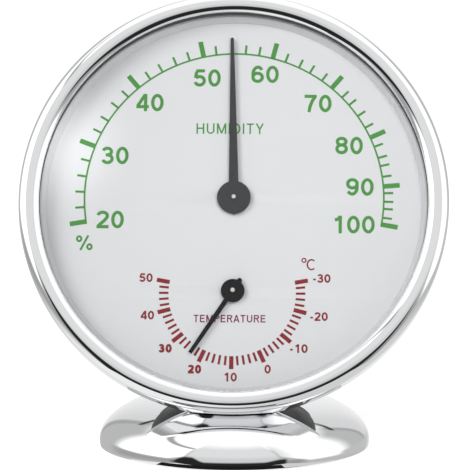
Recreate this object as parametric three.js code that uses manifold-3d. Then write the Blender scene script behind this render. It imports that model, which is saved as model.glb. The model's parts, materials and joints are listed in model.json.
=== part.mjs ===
// Desk thermo-hygrometer: a round instrument in a polished ring that leans back on a domed foot.
// Millimetres, +Z up. The origin is the middle of the foot pad's underside, the dial faces -Y.
import * as THREE from "three";
import { mergeVertices } from "three/addons/utils/BufferGeometryUtils.js";
import Module from "manifold-3d";

const wasm = await Module();
wasm.setup();

// Clearances and small working lengths
const fitGap = 0.3; // around a piece that sits in a bore
const seatGap = 0.1; // between stacked faces
const saddleGap = 0.15; // between the case and its saddle in the foot
const runningGap = 0.2; // around turning shafts
const cutOverrun = 2; // how far every cut runs past the face it opens
const weldDistance = 0.0001;

// Facet counts
const wideSides = 40;
const middleSides = 16;
const smallSides = 12;
const quarterSteps = 5;
const cornerSteps = 3;
const socketSides = 6;

// Foot: a polished dome with a rounded rim, over a weight, a base plate and a pad
const footRadius = 32.5;
const footDomeRise = 13; // from the widest plane to the top
const footRimHeight = 2.1; // of the widest plane above the table
const footRimTuck = 0.6; // how far the rim would draw in down to the table
const footShellLift = 0.9; // of the shell's lower edge above the table
const footWall = 2.6;
const footBossShare = 0.523; // of the foot's radius that the boss takes
const footNeckWall = 2.4; // of the neck round the clamp screws' sinks
const padThickness = 0.8;
const padInset = 0.6;
const basePlateThickness = 2;

// Screws that hold the base plate
const baseScrewCount = 3;
const baseScrewInset = 3.5; // from the boss's edge to the screws
const baseScrewHeadRadius = 2;
const baseScrewHeadHeight = 0.9;
const baseScrewShankRadius = 0.9;
const baseScrewLength = 6;

// Case: where it stands and how far it leans
const leanBack = 20.6; // degrees
const caseSetback = -3.4; // of the dial's middle along Y
const saddleSink = 0.65; // of the case into the foot's dome

// Ring round the dial: a half-round bead in front, a short wall and a rounded back
const bezelRadius = 51;
const bezelWidth = 5; // from the lip to the outside
const bezelLipAngle = 58.4; // degrees that the bead turns in past its crest to the lip
const bezelWallLength = 2.7;

// Stack behind the lip, from the front
const lipThickness = 0.7;
const lipOverLens = 0.9; // how far the lip covers the lens
const gasketThickness = 0.4;
const gasketPeek = 0.4; // how far the gasket shows inside the lip
const lensThickness = 1.4;
const pointerRoom = 2; // from the dial to the lens
const spacerSlope = 1; // how far the spacer's inner face draws in towards the dial
const dialThickness = 0.8;
const movementPlateThickness = 1.5;
const rimWall = 1.4; // of the housing's rim round the dial

// Black housing behind the ring
const housingDepth = 25; // behind the dial's face
const shoulderInset = 3.4; // of the shoulder inside the ring's outside
const shoulderLength = 1.1;
const shoulderChamfer = 0.6;
const housingFrontInset = 5; // of the cone's front inside the ring's outside
const housingTaper = 12; // how much narrower the cone's back is than its front
const housingCorner = 2.4;
const housingWall = 2.2;
const dialLedgeWidth = 2.2;
const dialLedgeThickness = 1.6;

// Rear cover with its vents, adjusting holes and screws
const coverInset = 4; // of the cover's edge inside the cone's back
const coverThickness = 2;
const coverLedgeWidth = 3.3;
const coverLedgeThickness = 2;
const coverScrewCount = 3;
const coverScrewHeadRadius = 1.5;
const coverScrewHeadHeight = 0.8;
const coverScrewShankRadius = 0.8;
const coverScrewLength = 6;
const coverBossRadius = 2.4;
const coverBossRoof = 0.8; // left over the screw's end
const adjustingHoleRadius = 3.6;
const ventCount = 7;
const ventWidth = 1.8;
// Shares of the cover's radius: each vent's length, the step between vents, and each
// row's distance from the case's axis along X
const ventLengthShare = 0.346;
const ventPitchShare = 0.121;
const ventRowShare = 0.548;

// Screws that clamp the case to the foot, with washers and threaded inserts
const clampSpacing = 7.2;
const clampGrip = 6; // of foot metal under each washer
const clampHeadRadius = 2.6;
const clampHeadHeight = 1.8;
const clampShankRadius = 1.3;
const clampWasherRadius = 3;
const clampWasherThickness = 0.5;
const clampBossRadius = 3.6;
const clampBossHeight = 8;
const insertRadius = 2.3;
const insertLength = 5;

// Both movements
const spindleRadius = 0.5;
const spindleTipReach = 1.8; // in front of the dial
const spindleTailRadius = 0.4;
const spindleTailLength = 2.6;
const bushWall = 0.6;
const bushFlangeWidth = 0.6;
const bushFlangeThickness = 0.35;
const bushTail = 2;
const pressGap = 0.06; // between the spindle and what is pressed on it
const collarRadius = 1.5;
const coilBehindPlate = 4; // from the movement plate to the coil
const coilHeight = 5;
const coilStripThickness = 0.3;
const coilPitch = 1.1;
const coilStepsPerTurn = 16;
const bridgeSheet = 0.8;
const bridgeWidth = 6;
const bridgeSideRoom = 2.2; // from the coil to each leg
const bridgeFootLength = 5;
const bridgeScrewHeadRadius = 1.5;
const bridgeScrewHeadHeight = 0.9;
const bridgeScrewShankRadius = 0.7;
const regulatorPlateRadius = 2.6;
const regulatorPlateThickness = 1.2;
const regulatorShaftRadius = 1.6;
const regulatorHeadRadius = 2.8;
const regulatorHeadHeight = 1.5;
const regulatorArmWidth = 2;
const regulatorFingerThickness = 0.8;
const regulatorSlotWidth = 0.8;
const regulatorSlotDepth = 0.8;

// Pointers
const hubLift = 0.6; // of the hub's underside above the dial
const hubEdgeHeight = 0.3;
const bladeLift = 0.15; // of the blade above the hub's underside
const bladeThickness = 0.35;
const hubDomeSteps = 3;

// What differs between the two movements
const hygrometer = {
  name: "hygrometer",
  centreUp: 1.35, // of the spindle from the case's axis, up the dial
  restAngle: -1.2, // degrees clockwise from the top of the dial
  coilRadius: 8.4,
  hubRadius: 3.9,
  hubHeight: 0.95,
  pointerReach: 39.4,
  bladeRootWidth: 2.3,
  bladeTipWidth: 0.8,
  tailReach: 0.8,
  tailWidth: 1.7,
};
const thermometer = {
  name: "thermometer",
  centreUp: -21.3,
  restAngle: 213.6,
  coilRadius: 6.2,
  hubRadius: 2.8,
  hubHeight: 0.9,
  pointerReach: 17.7,
  bladeRootWidth: 1.2,
  bladeTipWidth: 0.9,
  tailReach: 0.7,
  tailWidth: 1.2,
};

// Sizes that follow from the ones above
const lean = THREE.MathUtils.degToRad(leanBack);
const lipAngle = THREE.MathUtils.degToRad(bezelLipAngle);
const beadRadius = bezelWidth / (1 + Math.sin(lipAngle));
const beadCentreRadius = bezelRadius - beadRadius;
const lipRadius = bezelRadius - bezelWidth;
const lensRadius = lipRadius + lipOverLens;
const bezelBore = lensRadius + fitGap;
const rimRadius = bezelBore - fitGap;
const rimBore = rimRadius - rimWall;
const dialRadius = rimBore - fitGap;
const lensBack = pointerRoom;
const lensFront = lensBack + lensThickness;
const gasketFront = lensFront + seatGap + gasketThickness;
const lipBack = gasketFront + seatGap;
const lipFront = lipBack + lipThickness;
const beadFrontCentre = lipFront - beadRadius * Math.cos(lipAngle);
const beadBackCentre = beadFrontCentre - bezelWallLength;
const bezelBack = beadBackCentre - beadRadius;
const dialBack = -dialThickness;
const movementPlateFront = dialBack - seatGap;
const movementPlateBack = movementPlateFront - movementPlateThickness;
const dialLedge = movementPlateBack - seatGap;
const shoulderFront = bezelBack - seatGap;
const shoulderBack = shoulderFront - shoulderLength;
const shoulderRadius = bezelRadius - shoulderInset;
const housingFrontRadius = bezelRadius - housingFrontInset;
const housingRearRadius = housingFrontRadius - housingTaper;
const housingBack = -housingDepth;
const coneFront = shoulderBack - shoulderChamfer;
const coneBack = housingBack + housingCorner;
const coverRadius = housingRearRadius - coverInset;
const ventLength = coverRadius * ventLengthShare;
const ventPitch = coverRadius * ventPitchShare;
const ventRowOffset = coverRadius * ventRowShare;
const coverSeatRadius = coverRadius + fitGap;
const coverSeat = housingBack + coverThickness + seatGap;
const coverLedgeRadius = coverSeatRadius - coverLedgeWidth;
const coverScrewCircle = coverSeatRadius - coverLedgeWidth / 2 - fitGap;
const rearClamp = coverSeat + clampBossRadius;
const clampPlaces = [rearClamp + clampSpacing, rearClamp];
const basePlateTop = padThickness + basePlateThickness;
const footBossBottom = basePlateTop + seatGap;
const footInnerRadius = footRadius - footWall;
const footBossRadius = footRadius * footBossShare;
const footInnerRise = footDomeRise - footWall;
const baseScrewCircle = footBossRadius - baseScrewInset;
const bushBore = spindleRadius + runningGap;
const bushRadius = bushBore + bushWall;
const coilFront = movementPlateBack - coilBehindPlate;
const coilBack = coilFront - coilHeight;
const regulatorPlateFront = coilBack - fitGap;
const regulatorPlateBack = regulatorPlateFront - regulatorPlateThickness;
const bridgeBarFront = regulatorPlateBack - runningGap;
const bridgeBarBack = bridgeBarFront - bridgeSheet;
const regulatorHeadFront = bridgeBarBack - runningGap;
const regulatorHeadBack = regulatorHeadFront - regulatorHeadHeight;
const bridgeFootFront = movementPlateBack - seatGap;

// Materials
function material(color, roughness, metalness) {
  return new THREE.MeshStandardMaterial({ color, roughness, metalness });
}

const chrome = material(0xd9dbde, 0.06, 1);
const steel = material(0xa9abae, 0.35, 1);
const castIron = material(0x4a4b4d, 0.7, 0.6);
const brass = material(0xc29a4b, 0.3, 1);
const bimetal = material(0xb08a5a, 0.4, 0.9);
const dialSilver = material(0xe2e3e6, 0.45, 0.1);
const spacerGrey = material(0xb9bbc0, 0.5, 0);
const blackPlastic = material(0x17181a, 0.5, 0);
const blackRubber = material(0x101011, 0.8, 0);
const pointerBlack = material(0x2a2a2c, 0.4, 0.1);
const glass = new THREE.MeshStandardMaterial({
  color: 0xf4f8fa,
  roughness: 0.02,
  metalness: 0,
  transparent: true,
  opacity: 0.2,
});

// Solids: a geometry becomes a closed solid once its shared corners are one
function toSolid(geometry) {
  const bare = geometry.clone();
  bare.deleteAttribute("normal");
  bare.deleteAttribute("uv");
  const welded = mergeVertices(bare, weldDistance);
  const corners = welded.index.array;
  const triVerts = [];
  for (let i = 0; i < corners.length; i += 3) {
    const [a, b, c] = [corners[i], corners[i + 1], corners[i + 2]];
    const collapsed = a === b || b === c || c === a;
    if (!collapsed) triVerts.push(a, b, c);
  }
  const vertProperties = new Float32Array(welded.attributes.position.array);
  const mesh = new wasm.Mesh({ numProp: 3, vertProperties, triVerts: new Uint32Array(triVerts) });
  return new wasm.Manifold(mesh);
}

function toGeometry(solid) {
  const mesh = solid.getMesh();
  const geometry = new THREE.BufferGeometry();
  const places = new Float32Array(mesh.vertProperties);
  const corners = new Uint32Array(mesh.triVerts);
  geometry.setAttribute("position", new THREE.BufferAttribute(places, 3));
  geometry.setIndex(new THREE.BufferAttribute(corners, 1));
  geometry.computeVertexNormals();
  return geometry;
}

function piece(name, solid, finish) {
  const mesh = new THREE.Mesh(toGeometry(solid), finish);
  mesh.name = name;
  return mesh;
}

// A solid turned about Z from an outline of [radius, height] corners, outside going up
function turned(outline, sides) {
  const corners = [...outline, outline[0]].map(([radius, height]) => new THREE.Vector2(radius, height));
  const geometry = new THREE.LatheGeometry(corners, sides);
  geometry.rotateX(Math.PI / 2);
  return toSolid(geometry);
}

function disc(radius, bottom, top, sides) {
  return turned([[0, bottom], [radius, bottom], [radius, top], [0, top]], sides);
}

function tube(bore, radius, bottom, top, sides) {
  return turned([[bore, bottom], [radius, bottom], [radius, top], [bore, top]], sides);
}

// A block between two corners
function block(low, high) {
  const size = high.map((value, axis) => value - low[axis]);
  const middle = high.map((value, axis) => (value + low[axis]) / 2);
  const geometry = new THREE.BoxGeometry(...size);
  geometry.translate(...middle);
  return toSolid(geometry);
}

// A flat shape in the XY plane, extruded from bottom to top
function slab(shape, bottom, top) {
  const geometry = new THREE.ExtrudeGeometry(shape, {
    depth: top - bottom,
    bevelEnabled: false,
    curveSegments: quarterSteps,
  });
  geometry.translate(0, 0, bottom);
  return toSolid(geometry);
}

function moved(solid, x, y, z) {
  return solid.translate([x, y, z]);
}

// Corners of an arc of an ellipse, first and last angle in radians from the radius axis
function arcCorners(centre, reach, first, last, steps) {
  const corners = [];
  for (let i = 0; i <= steps; i += 1) {
    const angle = first + ((last - first) * i) / steps;
    corners.push([centre[0] + reach[0] * Math.cos(angle), centre[1] + reach[1] * Math.sin(angle)]);
  }
  return corners;
}

function spread(count, start) {
  return Array.from({ length: count }, (_, i) => start + (2 * Math.PI * i) / count);
}

// Outside of the case in [radius, height] from the back up to the lip
function housingOutside() {
  const cornerCentre = [housingRearRadius - housingCorner, coneBack];
  const corner = arcCorners(cornerCentre, [housingCorner, housingCorner], -Math.PI / 2, 0, cornerSteps);
  return [
    ...corner,
    [housingFrontRadius, coneFront],
    [shoulderRadius, shoulderBack],
    [shoulderRadius, shoulderFront],
  ];
}

function bezelOutside() {
  const reach = [beadRadius, beadRadius];
  const lip = Math.PI / 2 + lipAngle;
  return [
    ...arcCorners([beadCentreRadius, beadBackCentre], reach, -Math.PI / 2, 0, quarterSteps),
    ...arcCorners([beadCentreRadius, beadFrontCentre], reach, 0, lip, 2 * quarterSteps),
  ];
}

// The case's outside, moved out by a gap square to its faces
function grown(outline, gap) {
  return outline.map((corner, i) => {
    const before = outline[Math.max(i - 1, 0)];
    const after = outline[Math.min(i + 1, outline.length - 1)];
    const along = [after[0] - before[0], after[1] - before[1]];
    const length = Math.hypot(along[0], along[1]);
    return [corner[0] + (gap * along[1]) / length, corner[1] - (gap * along[0]) / length];
  });
}

function filled(outline, sides) {
  const bottom = outline[0][1];
  const top = outline[outline.length - 1][1];
  return turned([[0, bottom], ...outline, [0, top]], sides);
}

function housingRadiusAt(height) {
  const share = (coneFront - height) / (coneFront - coneBack);
  return housingFrontRadius - housingTaper * share;
}

// Height of the case's middle at which its underside sinks into the dome by the saddle's depth
function caseHeight() {
  const outline = [...housingOutside(), ...bezelOutside()];
  const stepsPerSide = 8;
  let height = 0;
  for (let i = 0; i + 1 < outline.length; i += 1) {
    for (let step = 0; step <= stepsPerSide; step += 1) {
      const share = step / stepsPerSide;
      const radius = outline[i][0] + (outline[i + 1][0] - outline[i][0]) * share;
      const along = outline[i][1] + (outline[i + 1][1] - outline[i][1]) * share;
      const y = caseSetback - radius * Math.sin(lean) - along * Math.cos(lean);
      const overFoot = Math.abs(y) < footRadius;
      const domeShare = overFoot ? Math.sqrt(1 - (y / footRadius) ** 2) : 0;
      const dome = footRimHeight + footDomeRise * domeShare;
      const touching = dome + radius * Math.cos(lean) - along * Math.sin(lean);
      if (overFoot) height = Math.max(height, touching);
    }
  }
  return height - saddleSink;
}

// The case leans back: its own Z runs out of the dial, its own Y up the dial
const caseGroup = new THREE.Group();
caseGroup.position.set(0, caseSetback, caseHeight());
caseGroup.rotation.x = Math.PI / 2 - lean;
caseGroup.updateMatrix();

function onCase(solid) {
  return solid.transform(caseGroup.matrix.toArray());
}

// A straight piece along the case's own Y, between two heights up the dial
function upright(radius, low, high, along, sides) {
  return disc(radius, low, high, sides).rotate([-90, 0, 0]).translate([0, 0, along]);
}

// Ring, glass and dial
function bezelRing() {
  const inside = [
    [lipRadius, lipBack],
    [bezelBore, lipBack],
    [bezelBore, bezelBack],
  ];
  return turned([...bezelOutside(), ...inside], wideSides);
}

function spacerRing() {
  const backRadius = lipRadius - gasketPeek - spacerSlope;
  const frontRadius = lipRadius - gasketPeek;
  const outline = [
    [backRadius, seatGap],
    [lensRadius, seatGap],
    [lensRadius, lensBack - seatGap],
    [frontRadius, lensBack - seatGap],
  ];
  return turned(outline, wideSides);
}

function holed(solid, radius, bottom, top) {
  let result = solid;
  for (const movement of [hygrometer, thermometer]) {
    const hole = disc(radius, bottom - cutOverrun, top + cutOverrun, smallSides);
    result = result.subtract(moved(hole, 0, movement.centreUp, 0));
  }
  return result;
}

function dialPlate() {
  const plate = disc(dialRadius, dialBack, 0, wideSides);
  return holed(plate, bushRadius + seatGap, dialBack, 0);
}

function movementPlate() {
  const plate = disc(dialRadius, movementPlateBack, movementPlateFront, wideSides);
  let drilled = holed(plate, bushRadius + seatGap, movementPlateBack, movementPlateFront);
  for (const movement of [hygrometer, thermometer]) {
    for (const side of [-1, 1]) {
      const hole = disc(
        bridgeScrewShankRadius + seatGap,
        movementPlateBack - cutOverrun,
        movementPlateFront + cutOverrun,
        smallSides,
      );
      drilled = drilled.subtract(moved(hole, side * bridgeScrewPlace(movement), movement.centreUp, 0));
    }
  }
  return drilled;
}

// Housing: rim, shoulder, cone, a ledge for the cover and bosses for the screws
function housingShell() {
  const innerFront = dialLedge - dialLedgeThickness;
  const innerBack = coverSeat + coverLedgeThickness;
  const outline = [
    [coverSeatRadius, housingBack],
    ...housingOutside(),
    [rimRadius, shoulderFront],
    [rimRadius, 0],
    [rimBore, 0],
    [rimBore, dialLedge],
    [rimBore - dialLedgeWidth, dialLedge],
    [rimBore - dialLedgeWidth, innerFront],
    [housingRadiusAt(innerFront) - housingWall, innerFront],
    [housingRadiusAt(innerBack) - housingWall, innerBack],
    [coverLedgeRadius, innerBack],
    [coverLedgeRadius, coverSeat],
    [coverSeatRadius, coverSeat],
  ];
  return turned(outline, wideSides);
}

function coverScrewAngles() {
  return spread(coverScrewCount, Math.PI / 2);
}

function atAngle(solid, angle, radius) {
  return moved(solid, radius * Math.cos(angle), radius * Math.sin(angle), 0);
}

function rearHousing() {
  let solid = housingShell();
  const outer = filled(housingOutside(), wideSides);
  for (const along of clampPlaces) {
    const wall = housingRadiusAt(along);
    const bossBottom = -wall - cutOverrun;
    const boss = upright(clampBossRadius, bossBottom, -wall + clampBossHeight, along, middleSides);
    solid = solid.add(boss.intersect(outer));
  }
  const bossTop = coverSeat + coverScrewLength;
  const screwBoss = disc(coverBossRadius, coverSeat, bossTop, smallSides);
  for (const angle of coverScrewAngles()) {
    solid = solid.add(atAngle(screwBoss, angle, coverScrewCircle));
  }
  solid = solid.subtract(disc(coverSeatRadius, housingBack - cutOverrun, coverSeat, wideSides));
  const pilotRadius = coverScrewShankRadius + seatGap;
  const pilot = disc(pilotRadius, coverSeat - cutOverrun, bossTop - coverBossRoof, smallSides);
  for (const angle of coverScrewAngles()) {
    solid = solid.subtract(atAngle(pilot, angle, coverScrewCircle));
  }
  for (const along of clampPlaces) {
    const wall = housingRadiusAt(along);
    const seatBottom = -wall + housingWall;
    const seatTop = -wall + clampBossHeight + cutOverrun;
    const wayRadius = clampShankRadius + fitGap;
    const way = upright(wayRadius, -wall - cutOverrun, seatBottom, along, smallSides);
    const seat = upright(insertRadius + seatGap, seatBottom, seatTop, along, smallSides);
    solid = solid.subtract(way).subtract(seat);
  }
  return solid;
}

function rearCover() {
  let cover = disc(coverRadius, housingBack, housingBack + coverThickness, wideSides);
  cover = holed(cover, adjustingHoleRadius, housingBack, housingBack + coverThickness);
  const low = housingBack - cutOverrun;
  const high = housingBack + coverThickness + cutOverrun;
  for (const side of [-1, 1]) {
    for (let row = 0; row < ventCount; row += 1) {
      const middle = side * ventRowOffset;
      const up = (row - (ventCount - 1) / 2) * ventPitch;
      const reach = ventLength / 2;
      const vent = block(
        [middle - reach, up - ventWidth / 2, low],
        [middle + reach, up + ventWidth / 2, high],
      );
      cover = cover.subtract(vent);
    }
  }
  for (const angle of coverScrewAngles()) {
    const hole = disc(coverScrewShankRadius + runningGap, low, high, smallSides);
    const sinkTop = housingBack + coverScrewHeadHeight;
    const sink = disc(coverScrewHeadRadius + runningGap, low, sinkTop, smallSides);
    cover = cover.subtract(atAngle(hole.add(sink), angle, coverScrewCircle));
  }
  return cover;
}

// A slotted screw that points along +Z, its head's outer face at the given height
function slottedScrew(size) {
  const seat = size.bottom + size.headHeight;
  const head = disc(size.headRadius, size.bottom, seat, smallSides);
  const shank = disc(size.shankRadius, size.bottom, seat + size.length, smallSides);
  const halfSlot = size.shankRadius / 2;
  const slot = block(
    [-size.headRadius, -halfSlot, size.bottom - cutOverrun],
    [size.headRadius, halfSlot, size.bottom + size.headHeight / 2],
  );
  return head.add(shank).subtract(slot);
}

function coverScrew() {
  return slottedScrew({
    bottom: housingBack + seatGap,
    headRadius: coverScrewHeadRadius,
    headHeight: coverScrewHeadHeight - seatGap * 2,
    shankRadius: coverScrewShankRadius,
    length: coverScrewLength - coverBossRoof - seatGap,
  });
}

// Movement: bush, spindle, coil, regulator, bridge and pointer, about the spindle's own axis
function bush() {
  const flangeRadius = bushRadius + bushFlangeWidth;
  const outline = [
    [bushBore, movementPlateBack - bushTail],
    [bushRadius, movementPlateBack - bushTail],
    [bushRadius, seatGap],
    [flangeRadius, seatGap],
    [flangeRadius, seatGap + bushFlangeThickness],
    [bushBore, seatGap + bushFlangeThickness],
  ];
  return turned(outline, smallSides);
}

function spindle() {
  const tail = coilBack - spindleTailLength;
  const outline = [
    [0, tail],
    [spindleTailRadius, tail],
    [spindleTailRadius, coilBack],
    [collarRadius, coilBack],
    [collarRadius, coilFront],
    [spindleRadius, coilFront],
    [spindleRadius, spindleTipReach],
    [0, spindleTipReach],
  ];
  return turned(outline, smallSides);
}

// The strip winds out from just outside the collar to just inside the regulator's finger
function coil(movement) {
  const innerRadius = collarRadius + fitGap;
  const outerRadius = movement.coilRadius - coilStripThickness;
  const turns = (outerRadius - innerRadius) / coilPitch;
  const steps = Math.round(turns * coilStepsPerTurn);
  const last = Math.PI / 2;
  const inner = [];
  const outer = [];
  for (let i = 0; i <= steps; i += 1) {
    const share = i / steps;
    const radius = innerRadius + (outerRadius - innerRadius) * share;
    const angle = last - 2 * Math.PI * turns * (1 - share);
    inner.push(new THREE.Vector2(radius * Math.cos(angle), radius * Math.sin(angle)));
    const outside = radius + coilStripThickness;
    outer.push(new THREE.Vector2(outside * Math.cos(angle), outside * Math.sin(angle)));
  }
  return slab(new THREE.Shape([...outer, ...inner.reverse()]), coilBack, coilFront);
}

// Turns in the bridge with a screwdriver, and carries the coil's outer end and the spindle's tail
function regulator(movement) {
  const fingerInside = movement.coilRadius + fitGap;
  const fingerOutside = fingerInside + regulatorFingerThickness;
  const halfWidth = regulatorArmWidth / 2;
  const plate = disc(regulatorPlateRadius, regulatorPlateBack, regulatorPlateFront, middleSides);
  const shaft = disc(regulatorShaftRadius, regulatorHeadFront, regulatorPlateBack, middleSides);
  const head = disc(regulatorHeadRadius, regulatorHeadBack, regulatorHeadFront, middleSides);
  const armEnd = [halfWidth, fingerOutside, regulatorPlateFront];
  const fingerEnd = [halfWidth, fingerOutside, coilFront];
  const arm = block([-halfWidth, 0, regulatorPlateBack], armEnd);
  const finger = block([-halfWidth, fingerInside, regulatorPlateBack], fingerEnd);
  const bore = disc(
    spindleTailRadius + runningGap,
    coilBack - spindleTailLength - runningGap,
    regulatorPlateFront + cutOverrun,
    smallSides,
  );
  const slot = block(
    [-regulatorHeadRadius, -regulatorSlotWidth / 2, regulatorHeadBack - cutOverrun],
    [regulatorHeadRadius, regulatorSlotWidth / 2, regulatorHeadBack + regulatorSlotDepth],
  );
  return plate.add(shaft).add(head).add(arm).add(finger).subtract(bore).subtract(slot);
}

function bridgeLegPlace(movement) {
  return movement.coilRadius + bridgeSideRoom;
}

function bridgeScrewPlace(movement) {
  return bridgeLegPlace(movement) + bridgeSheet + bridgeFootLength / 2;
}

// A bracket bent from sheet: two feet on the plate, two legs and a bar behind the coil
function bridge(movement) {
  const legInside = bridgeLegPlace(movement);
  const legOutside = legInside + bridgeSheet;
  const footEnd = legOutside + bridgeFootLength;
  const footBack = bridgeFootFront - bridgeSheet;
  const right = [
    [footEnd, footBack],
    [footEnd, bridgeFootFront],
    [legInside, bridgeFootFront],
    [legInside, bridgeBarFront],
  ];
  const rightOuter = [[legOutside, bridgeBarBack], [legOutside, footBack]];
  const mirror = ([across, along]) => [-across, along];
  const outline = [
    ...rightOuter,
    ...right,
    ...right.map(mirror).reverse(),
    ...rightOuter.map(mirror).reverse(),
  ];
  const shape = new THREE.Shape(outline.map(([across, along]) => new THREE.Vector2(across, along)));
  let sheet = slab(shape, -bridgeWidth / 2, bridgeWidth / 2).rotate([90, 0, 0]);
  const barHole = disc(
    regulatorShaftRadius + runningGap,
    bridgeBarBack - cutOverrun,
    bridgeBarFront + cutOverrun,
    middleSides,
  );
  sheet = sheet.subtract(barHole);
  for (const side of [-1, 1]) {
    const hole = disc(
      bridgeScrewShankRadius + seatGap,
      footBack - cutOverrun,
      bridgeFootFront + cutOverrun,
      smallSides,
    );
    sheet = sheet.subtract(moved(hole, side * bridgeScrewPlace(movement), 0, 0));
  }
  return sheet;
}

function bridgeScrew() {
  const headFront = bridgeFootFront - bridgeSheet - seatGap;
  return slottedScrew({
    bottom: headFront - bridgeScrewHeadHeight,
    headRadius: bridgeScrewHeadRadius,
    headHeight: bridgeScrewHeadHeight,
    shankRadius: bridgeScrewShankRadius,
    length: movementPlateFront - headFront,
  });
}

// A domed hub with a tapered blade that points up the dial and a short rounded tail
function pointer(movement) {
  const hubBore = spindleRadius + pressGap;
  const edgeTop = hubLift + hubEdgeHeight;
  const dome = arcCorners(
    [0, edgeTop],
    [movement.hubRadius, movement.hubHeight - hubEdgeHeight],
    0,
    Math.acos(hubBore / movement.hubRadius),
    hubDomeSteps,
  );
  const hub = turned([[hubBore, hubLift], [movement.hubRadius, hubLift], ...dome], middleSides);
  const halfRoot = movement.bladeRootWidth / 2;
  const halfTip = movement.bladeTipWidth / 2;
  const halfTail = movement.tailWidth / 2;
  const tailEnd = movement.hubRadius + movement.tailReach - halfTail;
  const outline = new THREE.Shape();
  outline.moveTo(halfRoot, 0);
  outline.lineTo(halfTip, movement.pointerReach - halfTip);
  outline.absarc(0, movement.pointerReach - halfTip, halfTip, 0, Math.PI, false);
  outline.lineTo(-halfRoot, 0);
  outline.lineTo(-halfTail, -tailEnd);
  outline.absarc(0, -tailEnd, halfTail, Math.PI, 2 * Math.PI, false);
  outline.closePath();
  const bladeBottom = hubLift + bladeLift;
  const blade = slab(outline, bladeBottom, bladeBottom + bladeThickness);
  const bore = disc(hubBore, hubLift - cutOverrun, spindleTipReach + cutOverrun, smallSides);
  return hub.add(blade).subtract(bore);
}

function movementGroup(movement) {
  const group = new THREE.Group();
  group.position.set(0, movement.centreUp, 0);
  const needle = piece(`${movement.name}_pointer`, pointer(movement), pointerBlack);
  needle.rotation.z = -THREE.MathUtils.degToRad(movement.restAngle);
  group.add(
    needle,
    piece(`${movement.name}_spindle`, spindle(), brass),
    piece(`${movement.name}_bush`, bush(), brass),
    piece(`${movement.name}_coil`, coil(movement), bimetal),
    piece(`${movement.name}_regulator`, regulator(movement), brass),
    piece(`${movement.name}_bridge`, bridge(movement), steel),
  );
  [-1, 1].forEach((side, i) => {
    const screw = piece(`${movement.name}_bridge_screw_${i + 1}`, bridgeScrew(), steel);
    screw.position.x = side * bridgeScrewPlace(movement);
    group.add(screw);
  });
  return group;
}

// Clamp between case and foot, along the case's own Y
function clampSeat(along) {
  return -housingRadiusAt(along) - saddleGap - clampGrip;
}

function clampScrew(along) {
  const seat = clampSeat(along) - clampWasherThickness - 2 * seatGap;
  const tip = -housingRadiusAt(along) + housingWall + insertLength;
  const head = upright(clampHeadRadius, seat - clampHeadHeight, seat, along, smallSides);
  const shank = upright(clampShankRadius, seat - clampHeadHeight / 2, tip, along, smallSides);
  const socket = upright(
    clampShankRadius,
    seat - clampHeadHeight - cutOverrun,
    seat - clampHeadHeight / 2,
    along,
    socketSides,
  );
  return head.add(shank).subtract(socket);
}

function clampWasher(along) {
  const top = clampSeat(along) - seatGap;
  const plate = upright(clampWasherRadius, top - clampWasherThickness, top, along, smallSides);
  const hole = upright(
    clampShankRadius + runningGap,
    top - clampWasherThickness - cutOverrun,
    top + cutOverrun,
    along,
    smallSides,
  );
  return plate.subtract(hole);
}

function clampInsert(along) {
  const bottom = -housingRadiusAt(along) + housingWall + seatGap;
  const sleeve = upright(insertRadius, bottom, bottom + insertLength, along, smallSides);
  const bore = upright(
    clampShankRadius + runningGap,
    bottom - cutOverrun,
    bottom + insertLength + cutOverrun,
    along,
    smallSides,
  );
  return sleeve.subtract(bore);
}

// Foot
function domeCorners(radius, rise, from, to, steps) {
  return arcCorners([0, footRimHeight], [radius, rise], from, to, steps);
}

function footShell() {
  const rimStart = -Math.asin((footRimHeight - footShellLift) / footRimHeight);
  const rim = arcCorners(
    [footRadius - footRimTuck, footRimHeight],
    [footRimTuck, footRimHeight],
    rimStart,
    0,
    cornerSteps,
  );
  const dome = domeCorners(footRadius, footDomeRise, 0, Math.PI / 2, 2 * quarterSteps);
  let shell = turned([[0, footShellLift], ...rim, ...dome.slice(1)], wideSides);
  const underBoss = footShellLift - cutOverrun;
  shell = shell.subtract(footHollow());
  shell = shell.subtract(disc(footBossRadius + fitGap, underBoss, footBossBottom, wideSides));
  shell = shell.add(footNeck());
  shell = shell.subtract(onCase(filled(grown(housingOutside(), saddleGap), wideSides)));
  shell = shell.subtract(onCase(filled(grown(bezelOutside(), saddleGap), wideSides)));
  for (const along of clampPlaces) {
    const seat = clampSeat(along);
    const wayTop = seat + clampGrip + cutOverrun;
    const sinkBottom = seat - footDomeRise - cutOverrun;
    const way = upright(clampShankRadius + fitGap, seat - cutOverrun, wayTop, along, smallSides);
    const sink = upright(clampWasherRadius + fitGap, sinkBottom, seat, along, middleSides);
    shell = shell.subtract(onCase(way)).subtract(onCase(sink));
  }
  for (const angle of baseScrewAngles()) {
    const top = footBossBottom + baseScrewLength;
    const pilot = disc(baseScrewShankRadius + seatGap, footBossBottom - cutOverrun, top, smallSides);
    shell = shell.subtract(atAngle(pilot, angle, baseScrewCircle));
  }
  return shell;
}

// A short neck on the dome round both clamp screws, cut to the line of the housing's cone
function footNeck() {
  const radius = clampWasherRadius + fitGap + footNeckWall;
  const coneEnd = housingBack - cutOverrun;
  const cone = [[housingRadiusAt(coneEnd), coneEnd], [housingFrontRadius, coneFront]];
  const top = -housingRadiusAt(coneEnd);
  const posts = clampPlaces.map((along) => upright(radius, clampSeat(along), top, along, middleSides));
  const neck = posts[0].add(posts[1]).hull();
  return onCase(neck.subtract(filled(grown(cone, saddleGap), wideSides)));
}

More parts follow.
